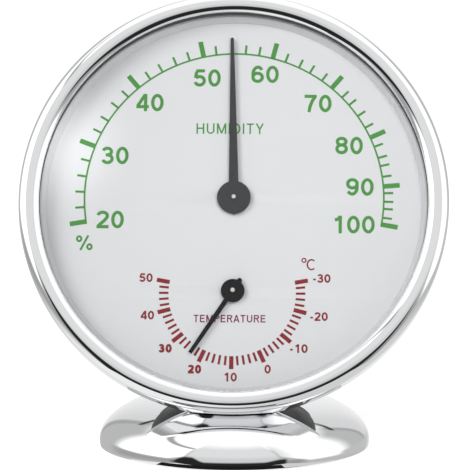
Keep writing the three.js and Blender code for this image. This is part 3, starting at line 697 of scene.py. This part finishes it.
HEAT_PLACES = {
    50: (-20.6, -18.1), 40: (-20.1, -27.15), 30: (-15.8, -35.1), 20: (-8.8, -40.05), 10: (-0.4, -41.9),
    0: (8.4, -39.95), -10: (15.7, -35.0), -20: (20.4, -27.3), -30: (21.0, -18.1),
}
BOLD_HEAT = (30, 20)


def humidity_scale():
    sheet = Print()
    centre = (0.0, HUMIDITY_UP)
    first, last = HUMIDITY_MAIN[20], HUMIDITY_MAIN[100]
    sheet.stroke(arc(centre, (HUMIDITY_LINE, HUMIDITY_LINE), 90 - first, 90 - last, 120), half=0.21)
    for angle in HUMIDITY_MAIN.values():
        tick(sheet, angle, HUMIDITY_LINE - 0.2, 39.5, 1.16, centre)
    for angle in HUMIDITY_BETWEEN:
        tick(sheet, angle, HUMIDITY_LINE, 37.85, 0.54, centre)
    for value, place in HUMIDITY_PLACES.items():
        write(sheet, str(value), place, height=4.3, stroke=0.78, space=0.125)
    write(sheet, "%", (-35.4, -9.7), height=3.6, stroke=0.5, space=0.1)
    write(sheet, "HUMIDITY", (-1.15, 18.4), height=2.6, stroke=0.36, space=0.22)
    sheet.finish("humidity_print", green_ink)


def heat_scale():
    sheet = Print()
    for degrees in range(-30, 51, 2):
        angle = HEAT_TURN_AT_TEN + HEAT_TURN_PER_TEN * (degrees - 10) / 10
        outer, width = (18.15, 1.02) if degrees % 10 == 0 else (17.3, 0.55)
        tick(sheet, angle, HEAT_INNER, outer, width, HEAT_CENTRE)
    for value, place in HEAT_PLACES.items():
        write(sheet, str(value), place, height=2.1, stroke=0.58 if value in BOLD_HEAT else 0.43, space=0.11)
    sheet.stroke(arc((16.75, -13.74), (0.47, 0.47), 0, 360, 28), half=0.15)
    write(sheet, "C", (18.48, -14.77), height=2.75, stroke=0.36, space=0.0)
    sheet.finish("heat_print", red_ink)


def heat_word():
    sheet = Print()
    write(sheet, "TEMPERATURE", (-0.7, -27.9), height=1.8, stroke=0.29, space=0.19)
    sheet.finish("heat_word", plum_ink)


humidity_scale()
heat_scale()
heat_word()

# Pointers
HUB_LOW = 0.6
HUB_WALL = 0.3
HUB_EDGE = 0.12
COLLAR_RADIUS = 0.95
COLLAR_RISE = 0.1
BLADE_LOW = 0.75
BLADE_HIGH = 1.1
BLADE_EDGE = 0.06
PIN_BORE = 0.56


def needle_hub(name, place, radius, height):
    """A low dome with a collar round the spindle's tip."""
    low, wall_top = HUB_LOW, HUB_LOW + HUB_WALL
    outline = [(PIN_BORE, low), (radius - HUB_EDGE, low), (radius, low + HUB_EDGE), (radius, wall_top)]
    outline += arc((0, wall_top), (radius, height - HUB_WALL), 4, 74, 20)
    crown = outline[-1][1]
    top = crown + COLLAR_RISE
    outline += [(COLLAR_RADIUS, crown), (COLLAR_RADIUS - 0.06, top)]
    outline += [(PIN_BORE + 0.05, top), (PIN_BORE, crown + 0.06)]
    return revolved(name + "_hub", outline, place, 128)


def needle_blade(name, place, hub_radius, reach, root, tip, tail_reach, tail_width, square):
    """A tapered blade with a square or round tip, and a short round tail."""
    half_root, half_tip, half_tail = root / 2, tip / 2, tail_width / 2
    if square:
        end = [(half_tip, reach), (-half_tip, reach)]
    else:
        end = arc((0, reach - half_tip), (half_tip, half_tip), 0, 180, 10)
    tail_end = hub_radius + tail_reach - half_tail
    tail = arc((0, -tail_end), (half_tail, half_tail), 180, 360, 10)
    inside = 0.7  # where blade and tail start, under the hub
    corners = [(half_root, inside)] + end + [(-half_root, inside)]
    corners += [(-half_tail, -inside)] + tail + [(half_tail, -inside)]
    bore = circle(PIN_BORE, sides=32)
    return plate(name + "_blade", corners, [bore], BLADE_LOW, BLADE_HIGH, place, edge=BLADE_EDGE)


def pointer(name, pin, turn, hub_radius, hub_height, body, finish, node, **blade):
    place = axes_at(pin) @ Matrix.Rotation(-math.radians(turn), 4, "Z")
    hub = needle_hub(name, place, hub_radius, hub_height)
    made = joined(name, [hub, needle_blade(name, place, hub_radius, **blade)])
    dress(made, finish, "pointer_black", node, body=body)


pointer(
    "humidity_needle", humidity_pin, turn=-1.2, hub_radius=4.0, hub_height=0.95,
    reach=39.4, root=2.4, tip=0.8, tail_reach=0.25, tail_width=1.0, square=False,
    body="hygrometer_needle", finish=grey_needle, node="hygrometer_pointer",
)
pointer(
    "heat_needle", heat_pin, turn=213.4, hub_radius=2.8, hub_height=0.9,
    reach=17.95, root=1.2, tip=0.9, tail_reach=0.7, tail_width=1.2, square=True,
    body="thermometer_needle", finish=black_needle, node="thermometer_pointer",
)

# Housing and cover
HOUSING_BACK = -25.0
CONE_FRONT_RADIUS = 46.0
CONE_BACK_RADIUS = 34.0
CONE_TOP = -3.915
CONE_WALL = 2.2
CORNER = 2.4
SHOULDER_RADIUS = 47.6
SHOULDER_FRONT = -2.215
SHOULDER_BACK = -3.315
MOUTH_BORE = 45.5
LEDGE_BORE = 43.3  # the ledge that the movement plate lies on
LEDGE_FRONT = -2.5
LEDGE_BACK = -4.1
COVER_RADIUS = 30.0
COVER_THICKNESS = 2.0
COVER_SEAT = -22.9
COVER_SEAT_RADIUS = 30.3
COVER_LEDGE_BORE = 27.0
ADJUST_HOLE = 3.6
VENT_ROWS = 7
VENT_PITCH = 3.63
VENT_LENGTH = 10.38
VENT_HEIGHT = 1.8
VENT_CORNER = 0.85
VENT_OFFSET = 16.44
THIRDS = (0, 120, 240)
COVER_SCREW_CIRCLE = 28.35
COVER_SCREW_HOLE = 1.0
SINK_RADIUS = 1.7
SINK_DEPTH = 0.8
HEAD_RADIUS = 1.5
HEAD_HEIGHT = 0.6
HEAD_DEPTH = 0.1  # of the head's face behind the cover's
SHANK_RADIUS = 0.8
SCREW_LENGTH = 4.9
THREAD_PITCH = 0.45
THREAD_DEPTH = 0.07
SLOT_WIDTH = 0.4


def housing_outside():
    """From the back corner up the cone and round the shoulder that the ring's skirt covers."""
    edge, front, rear = SHOULDER_RADIUS, SHOULDER_FRONT, SHOULDER_BACK
    soft = 0.25
    return (
        arc((CONE_BACK_RADIUS - CORNER, HOUSING_BACK + CORNER), (CORNER, CORNER), -90, 0, 14)
        + [(CONE_FRONT_RADIUS, CONE_TOP)]
        + [(edge - soft, rear - 0.02), (edge, rear + soft), (edge, front - soft), (edge - soft, front)]
    )


def cone_radius(height):
    share = (CONE_TOP - height) / (CONE_TOP - HOUSING_BACK - CORNER)
    return CONE_FRONT_RADIUS - (CONE_FRONT_RADIUS - CONE_BACK_RADIUS) * share


def housing():
    """An open cone, from the edge round the cover outside to the mouth, and back inside."""
    soft = 0.1
    outline = [(COVER_SEAT_RADIUS + 2 * soft, HOUSING_BACK)] + housing_outside()
    outline += [(SEAT_RADIUS, SHOULDER_FRONT), (SEAT_RADIUS, -soft), (SEAT_RADIUS - soft, 0.0)]
    outline += [(MOUTH_BORE, 0.0), (MOUTH_BORE, LEDGE_FRONT)]
    outline += [(LEDGE_BORE, LEDGE_FRONT), (LEDGE_BORE, LEDGE_BACK)]
    outline += [(cone_radius(height) - CONE_WALL, height) for height in (LEDGE_BACK, COVER_SEAT + 2)]
    outline += [(COVER_LEDGE_BORE, COVER_SEAT + 2), (COVER_LEDGE_BORE, COVER_SEAT)]
    outline += [(COVER_SEAT_RADIUS, COVER_SEAT), (COVER_SEAT_RADIUS, HOUSING_BACK + 2 * soft)]
    dress(revolved("housing", outline, CASE), black_case, "black_plastic", "rear_housing")


def vents():
    holes = []
    for side in (-1, 1):
        for row in range(VENT_ROWS):
            middle = (side * VENT_OFFSET, (row - (VENT_ROWS - 1) / 2) * VENT_PITCH)
            holes.append(rounded_bar(middle, VENT_LENGTH, VENT_HEIGHT, VENT_CORNER))
    return holes


def cover():
    back = HOUSING_BACK
    screws = [ray(angle, COVER_SCREW_CIRCLE) for angle in THIRDS]
    holes = [circle(ADJUST_HOLE, (0, up), 64) for up in (HUMIDITY_UP, HEAT_UP)] + vents()
    holes += [circle(COVER_SCREW_HOLE, place, 32) for place in screws]
    face = circle(COVER_RADIUS, sides=SIDES)
    made = plate("vented_cover", face, holes, back, back + COVER_THICKNESS, CASE, edge=0.12)
    sinks = []
    for x, y in screws:
        place = CASE @ Matrix.Translation((x, y, 0))
        sinks.append(rod("sink", SINK_RADIUS, back - 1, back + SINK_DEPTH, place, 40))
    dress(cut(made, *sinks), black_case, "black_plastic", "rear_cover")


def screw(number, angle, slot_turn):
    """A slotted screw into the case, made from its head's outer face inwards."""
    name = f"cover_screw_{number}"
    x, y = ray(angle, COVER_SCREW_CIRCLE)
    place = CASE @ Matrix.Translation((x, y, HOUSING_BACK + HEAD_DEPTH))
    head, shank, edge = HEAD_RADIUS, SHANK_RADIUS, 0.18
    end = HEAD_HEIGHT + SCREW_LENGTH
    outline = [(0, 0.0), (head - 2 * edge, 0.0), (head - 0.5 * edge, 0.3 * edge), (head, edge * 1.3)]
    outline += [(head, HEAD_HEIGHT), (shank, HEAD_HEIGHT)]
    for i in range(int((SCREW_LENGTH - 0.6) / THREAD_PITCH)):
        low = HEAD_HEIGHT + 0.2 + i * THREAD_PITCH
        outline += [(shank - THREAD_DEPTH, low), (shank, low + THREAD_PITCH / 2)]
    outline += [(shank - THREAD_DEPTH, end - 0.3), (0.2, end), (0, end)]
    made = revolved(name, outline, place, 48)
    slot = oblong(head + 1, -SLOT_WIDTH / 2, SLOT_WIDTH / 2)
    turned = place @ Matrix.Rotation(math.radians(slot_turn), 4, "Z")
    bar = plate(name + "_slot", slot, [], -1.0, HEAD_HEIGHT * 0.5, turned)
    dress(cut(made, bar), steel, "steel", f"rear_cover_screw_{number}")


housing()
cover()
screw(1, angle=0, slot_turn=20)
screw(2, angle=-120, slot_turn=75)
screw(3, angle=120, slot_turn=-35)

# Foot
FOOT_RADIUS = 32.5
DOME_RISE = 13.0
WIDEST = 2.1
RIM_TUCK = 0.6
SHELL_LIFT = 0.9
WALL = 2.6
BOSS_RADIUS = FOOT_RADIUS * 0.523
BOSS_BOTTOM = 2.9
SADDLE_GAP = 0.15
CLAMP_PLACES = (-12.1, -19.3)
CLAMP_DEPTH = 6.15  # from the housing's cone in to the screws' seats
CLAMP_WAY = 1.6
CLAMP_SINK = 3.3
CLAMP_SINK_END = 30
NECK_RADIUS = 5.7
PILOT_CIRCLE = 13.5
PILOT_RADIUS = 1.0
PILOT_DEPTH = 6.0
PAD_RADIUS = 29.0
PAD_HEIGHT = 0.8
PAD_EDGE = 0.15
ON_FORM = 2e-3  # how near, as a share, the polished surface lies to its exact form
SAME_WAY = 0.9  # how alike the two normals are


def case_form(gap):
    """The outside of the ring and the housing, grown by a gap, to cut the saddle with."""
    reach = (BEAD_RADIUS + gap, BEAD_RADIUS + gap)
    ring_line = [(0, RING_BACK - gap)] + arc((BEAD_CENTRE, BEAD_BACK), reach, -90, 0, 24)
    ring_line += arc((BEAD_CENTRE, BEAD_FRONT), reach, 0, 90, 24) + [(0, BEAD_FRONT + BEAD_RADIUS + gap)]
    ring_form = revolved("ring_form", ring_line, CASE)
    line = [(radius + gap, height) for radius, height in housing_outside()]
    low = [(0, HOUSING_BACK - gap), (CONE_BACK_RADIUS - CORNER, HOUSING_BACK - gap)]
    housing_form = revolved("housing_form", low + line[2:] + [(0, SHOULDER_FRONT)], CASE)
    return ring_form, housing_form


def down(along, height):
    """A place on the foot's side of the case, with Z pointing towards the table."""
    return CASE @ Matrix.Translation((0, height, along)) @ Matrix.Rotation(math.radians(90), 4, "X")


def neck():
    """The block round both clamp screws that fills the way from the foot to the housing."""
    top = -cone_radius(HOUSING_BACK - 2)
    work = bmesh.new()
    for along in CLAMP_PLACES:
        for height in (-cone_radius(along) - CLAMP_DEPTH, top):
            for x, z in circle(NECK_RADIUS, (0, along)):
                work.verts.new((x, height, z))
    bmesh.ops.convex_hull(work, input=work.verts)
    return smooth(make_object("neck", to_mesh(work, "neck"), CASE))


def screw_ways():
    """The holes in the foot for the clamp screws and the base screws."""
    ways = []
    for along in CLAMP_PLACES:
        place = down(along, -cone_radius(along))
        ways.append(rod("clamp_way", CLAMP_WAY, -3, CLAMP_DEPTH + 1, place, 32))
        ways.append(rod("clamp_sink", CLAMP_SINK, CLAMP_DEPTH, CLAMP_SINK_END, place, 48))
    for angle in THIRDS:
        x, y = ray(angle, PILOT_CIRCLE)
        place = FOOT @ Matrix.Translation((x, y, 0))
        ways.append(rod("pilot", PILOT_RADIUS, BOSS_BOTTOM - 1, BOSS_BOTTOM + PILOT_DEPTH, place, 32))
    return ways


def foot():
    """A hollow dome with a boss in its middle and a neck, cut away where the case lies in it."""
    inner = (FOOT_RADIUS - WALL, DOME_RISE - WALL)
    boss_top = math.degrees(math.acos(BOSS_RADIUS / inner[0]))
    rim_start = -math.degrees(math.asin((WIDEST - SHELL_LIFT) / WIDEST))
    outline = [(0, BOSS_BOTTOM), (BOSS_RADIUS, BOSS_BOTTOM)]
    outline += arc((0, WIDEST), inner, boss_top, 0, 16) + [(inner[0], SHELL_LIFT)]
    outline += arc((FOOT_RADIUS - RIM_TUCK, WIDEST), (RIM_TUCK, WIDEST), rim_start, 0, 20)
    outline += arc((0, WIDEST), (FOOT_RADIUS, DOME_RISE), 0, 90, 90)[1:-1] + [(0, WIDEST + DOME_RISE)]
    shell = revolved("foot_dome", outline, FOOT, 384)
    cut(shell, neck(), operation="UNION")
    cut(shell, *case_form(SADDLE_GAP), *screw_ways())
    set_dome_normals(shell)
    dress(shell, chrome, "chrome", "foot_shell")


def form_at(place):
    """How far a place is from the exact dome or rim, as a share, and that form's normal there."""
    radius, rise, widest, tuck = FOOT_RADIUS * MM, DOME_RISE * MM, WIDEST * MM, RIM_TUCK * MM
    across = math.hypot(place.x, place.y)
    up = place.z - widest
    if up >= -1e-7:
        gap = abs((across / radius) ** 2 + (up / rise) ** 2 - 1)
        return gap, Vector((place.x / radius**2, place.y / radius**2, up / rise**2)).normalized()
    out = across - (radius - tuck)
    gap = abs((out / tuck) ** 2 + (up / widest) ** 2 - 1)
    side = out / tuck**2 / across
    return gap, Vector((place.x * side, place.y * side, up / widest**2)).normalized()


def set_dome_normals(shell):
    """Gives the polished surface its exact normals, so that reflections run clean past the cuts."""
    mesh = shell.data
    normals = [corner.vector.copy() for corner in mesh.corner_normals]
    for face in mesh.polygons:
        for loop in face.loop_indices:
            gap, exact = form_at(mesh.vertices[mesh.loops[loop].vertex_index].co)
            if gap < ON_FORM and exact.dot(face.normal) > SAME_WAY:
                normals[loop] = exact
    mesh.normals_split_custom_set(normals)


def pad():
    outline = [(0, 0), (PAD_RADIUS - PAD_EDGE, 0), (PAD_RADIUS, PAD_EDGE)]
    outline += [(PAD_RADIUS, PAD_HEIGHT), (0, PAD_HEIGHT)]
    dress(revolved("rubber_pad", outline, FOOT), rubber, "black_rubber", "foot_pad")


foot()
pad()

# CAD nodes that stay are steel, unless their name has one of these words
other_finishes = {
    "spindle": spindle_metal,
    "bush": brass,
    "coil": coil_metal,
    "regulator": brass,
    "insert": brass,
    "foot_weight": iron,
}
for node, holder in frame["nodes"].items():
    if not holder.hide_render:
        found = next((finish for word, finish in other_finishes.items() if word in node), steel)
        holder.data.materials.clear()
        holder.data.materials.append(found)

# Studio
WHITE = (1.0, 1.0, 1.0, 1.0)
MATT_LEVEL = 0.28  # what the world gives to matt surfaces
FLOOR_REACH = 6000
FLOOR_GLOW = 0.72  # added to the floor for the camera
CARD_BLEND = 0.03  # metres to either side of the middle


def flat_sheet(name, outline, height):
    mesh = bpy.data.meshes.new(name)
    mesh.from_pydata([(x, y, height) for x, y in outline], [], [list(range(len(outline)))])
    return make_object(name, mesh, FOOT)


def hide_from(made, *ray_kinds):
    for ray_kind in ray_kinds:
        setattr(made, "visible_" + ray_kind, False)


def make_floor():
    """Matt and pale; light added for the camera makes all but the shadow white."""
    floor = flat_sheet("floor", oblong(FLOOR_REACH, -FLOOR_REACH, FLOOR_REACH), 0)
    material, nodes, shader, _, out = new_material("floor")
    nodes.fill(shader, {"Base Color": (0.9, 0.9, 0.9, 1.0), "Roughness": 0.9, "Specular IOR Level": 0.0})
    seen = nodes.either_ray("Is Camera Ray", "Is Transmission Ray")
    glow = nodes.join("ShaderNodeEmission", WHITE, nodes.math("MULTIPLY", seen, FLOOR_GLOW))
    both = nodes.join("ShaderNodeAddShader", shader.outputs[0], glow)
    nodes.link(both, out.inputs["Surface"])
    floor.data.materials.append(material)
    hide_from(floor, "glossy")


def card(name, outline, height, levels):
    """A card that only polished surfaces see, with a level at its left and its right."""
    made = flat_sheet(name, outline, height)
    material, nodes, _, place, out = new_material(name)
    to_right = nodes.join("ShaderNodeSeparateXYZ", place)
    level = nodes.step(to_right, -CARD_BLEND, CARD_BLEND, *levels)
    glow = nodes.join("ShaderNodeEmission", WHITE, level)
    nodes.link(glow, out.inputs["Surface"])
    made.data.materials.append(material)
    hide_from(made, "camera", "diffuse", "transmission", "volume_scatter", "shadow")


def make_cards():
    """A pale card low in front, and a painted contact shadow: a dark strip along the front of the foot that
    polished surfaces see in place of the floor's shade.
    """
    card("low_card", oblong(half=90, near=-98, far=-10), height=-25.0, levels=(0.9, 0.66))
    first, last = 236, 294
    inner, outer = FOOT_RADIUS + 0.1, FOOT_RADIUS + 4.6
    strip = arc((0, 0), (inner, inner), first, last, 48) + arc((0, 0), (outer, outer), last, first, 48)
    # Painted shade: this dark strip stands in for the foot's contact shadow on the table, seen only in
    # reflections
    card("painted_contact_shadow", strip, height=0.05, levels=(0.012, 0.012))


def hang(data, target, azimuth, elevation, distance):
    """Hangs a lamp that shines at a place and isn't seen itself."""
    made = new_object(data.name, data)
    side = towards(azimuth, elevation)
    made.location = target + side * distance
    made.rotation_mode = "QUATERNION"
    made.rotation_quaternion = side.to_track_quat("Z", "Y")
    hide_from(made, "camera", "glossy", "transmission")


def soft_lamp(name, azimuth, elevation, distance, size, power):
    data = bpy.data.lights.new(name, "AREA")
    data.shape = "DISK"
    data.size = size
    data.energy = power
    hang(data, AIM, azimuth, elevation, distance)


def glare():
    """A small spot of light at the left of the dial."""
    data = bpy.data.lights.new("glare", "SPOT")
    data.energy = 19.0
    data.spot_size = math.radians(1.9)
    data.spot_blend = 1.0
    data.shadow_soft_size = 0.01
    hang(data, CASE @ Vector((-45.0, 14.5, 0.0)), azimuth=20.0, elevation=22.0, distance=0.8)


class Sky(Nodes):
    """The studio as polished surfaces see it: panels laid over each other by direction."""

    def both(self, *shares):
        total = shares[0]
        for share in shares[1:]:
            total = self.math("MULTIPLY", total, share)
        return total

    def band(self, value, low, high, soft_low, soft_high):
        """1 from low to high, with soft ends"""
        rise = self.step(value, low - soft_low, low + soft_low)
        return self.both(rise, self.step(value, high - soft_high, high + soft_high, 1.0, 0.0))

    def over(self, base, share, value):
        """base with value laid over it where share is 1"""
        node = self.add("ShaderNodeMix", data_type="FLOAT")
        return self.fill(node, {0: share, 2: base, 3: value}).outputs[0]

    def line(self, value, slope, base):
        return self.math("MULTIPLY_ADD", value, slope, base)

    def away(self, value, middle):
        """How far value is from middle, either way."""
        return self.math("ABSOLUTE", self.math("SUBTRACT", value, middle))

    def direction(self):
        """Degrees of turn from the front towards +X, and of height above the level."""
        split = self.add("ShaderNodeSeparateXYZ")
        self.link(self.add("ShaderNodeTexCoord").outputs["Generated"], split.inputs[0])
        x, y, z = split.outputs
        height = self.math("DEGREES", self.math("ARCSINE", z))
        turn = self.math("DEGREES", self.math("ARCTAN2", x, self.math("MULTIPLY", y, -1.0)))
        return turn, height

    def walls(self, turn, height):
        """Grey walls that meet a paler back wall in a slanting seam, with a dark shelf above them."""
        wall, seam_dark, shelf_dark, above = 0.51, 0.4, 0.05, 1.2
        side = self.math("ABSOLUTE", turn)
        is_right = self.step(turn, -1.0, 1.0)
        corner = self.over(self.line(height, -0.33, 157.0), is_right, self.line(height, -0.25, 147.0))
        past = self.math("SUBTRACT", side, corner)
        back = self.step(side, 150.0, 178.0, 0.7, 0.93)
        level = self.over(wall, self.step(past, 1.0, 4.0), back)
        seam = self.both(self.band(past, -2, 2, 1.5, 1.5), self.band(height, -4, 44, 3, 3))
        level = self.over(level, seam, seam_dark)
        off_shelf = self.math("SUBTRACT", height, self.line(past, 0.47, 39.0))
        shelf = self.both(self.band(off_shelf, -1.6, 1.6, 1.0, 1.0), self.step(past, -4, -2))
        level = self.over(level, shelf, shelf_dark)
        return self.over(level, self.step(height, 40.0, 56.0), above)

    def side_lights(self, level, turn, height):
        """A soft light at each side, cut off on a slant at its inner lower corner."""
        bright, near_front = 1.3, 0.82
        side = self.math("ABSOLUTE", turn)
        slant = self.step(self.math("ADD", side, self.line(height, 0.9, 0.0)), 55.0, 61.0)
        left = self.both(self.band(turn, -115, -42, 10, 1.5), self.band(height, 2, 59, 4, 1.5), slant)
        right = self.both(self.band(turn, 42, 110, 1.5, 13), self.band(height, -9, 61, 5, 2), slant)
        level = self.over(level, left, bright)
        return self.over(level, right, self.step(turn, 40.0, 66.0, near_front, bright))

    def front_and_ceiling(self, level, turn, height):
        """Grey front between the lights, a pale ceiling and the rim of the left light."""
        front_low, front_high, ceiling, rim = 0.66, 0.78, 1.12, 0.4
        front = self.step(self.math("ABSOLUTE", turn), 37.0, 43.0, 1.0, 0.0)
        level = self.over(level, front, self.step(height, 8.0, 28.0, front_low, front_high))
        level = self.over(level, self.step(height, 48.0, 74.0), ceiling)
        lean = self.math("ADD", height, self.line(turn, 0.147, 16.2))
        edge = self.both(self.band(lean, 57, 62, 1.5, 1.5), self.band(turn, -112, -42, 8, 3))
        return self.over(level, edge, rim)

    def floor_and_belt(self, level, turn, height):
        """Low down: a floor that is paler at the left, and a belt of greys above it."""
        left_grey, right_grey, front_grey = 0.36, 0.55, 0.33
        floor = self.line(self.math("SINE", self.math("RADIANS", turn)), -0.1, 0.76)
        level = self.over(level, self.step(height, -36.0, -16.0, 1.0, 0.0), floor)
        low = self.band(height, -16, 0, 6, 4)
        level = self.over(level, self.both(low, self.band(turn, -120, -45, 16, 4)), left_grey)
        level = self.over(level, self.both(low, self.band(turn, 104, 160, 8, 14)), right_grey)
        under = self.step(height, -8.0, 4.0, 1.0, 0.0)
        return self.over(level, self.both(under, self.band(turn, 44, 64, 4, 8)), front_grey)

    def dark_front(self, level, turn, height):
        """The dark of the room in front, which rises towards both its ends."""
        dark = 0.02
        left = self.step(self.away(turn, -38.0), 2.0, 15.0, 21.0, 0.0)
        right = self.step(self.away(turn, 43.0), 2.0, 17.0, 10.0, 0.0)
        top = self.math("SUBTRACT", height, self.math("ADD", left, right))
        deep = self.step(height, -48.0, -40.0)
        share = self.both(self.step(top, -10.0, 0.5, 1.0, 0.0), self.band(turn, -52, 46.5, 5, 2), deep)
        return self.over(level, share, dark)

    def room(self, turn, height):
        """Level of the studio by direction."""
        level = self.walls(turn, height)
        for layer in (self.side_lights, self.front_and_ceiling, self.floor_and_belt, self.dark_front):
            level = layer(level, turn, height)
        return level


def make_world():
    """White to the camera, even to matt surfaces, and a studio of panels to polished ones."""
    world = bpy.data.worlds.new("studio")
    bpy.context.scene.world = world
    world.use_nodes = True
    nodes = Sky(world.node_tree)
    glossy = nodes.add("ShaderNodeLightPath").outputs["Is Glossy Ray"]
    shown = nodes.over(MATT_LEVEL, glossy, nodes.room(*nodes.direction()))
    straight = nodes.either_ray("Is Camera Ray", "Is Transmission Ray")
    ground = nodes.join("ShaderNodeBackground", WHITE, nodes.over(shown, straight, 1.0))
    nodes.link(ground, nodes.add("ShaderNodeOutputWorld").inputs["Surface"])


make_floor()
make_cards()
make_world()
soft_lamp("key", azimuth=-48.0, elevation=32.0, distance=2.0, size=1.1, power=17.2)
soft_lamp("front", azimuth=22.0, elevation=32.0, distance=0.3, size=0.16, power=0.34)
glare()
bpy.context.scene.view_settings.view_transform = "Standard"
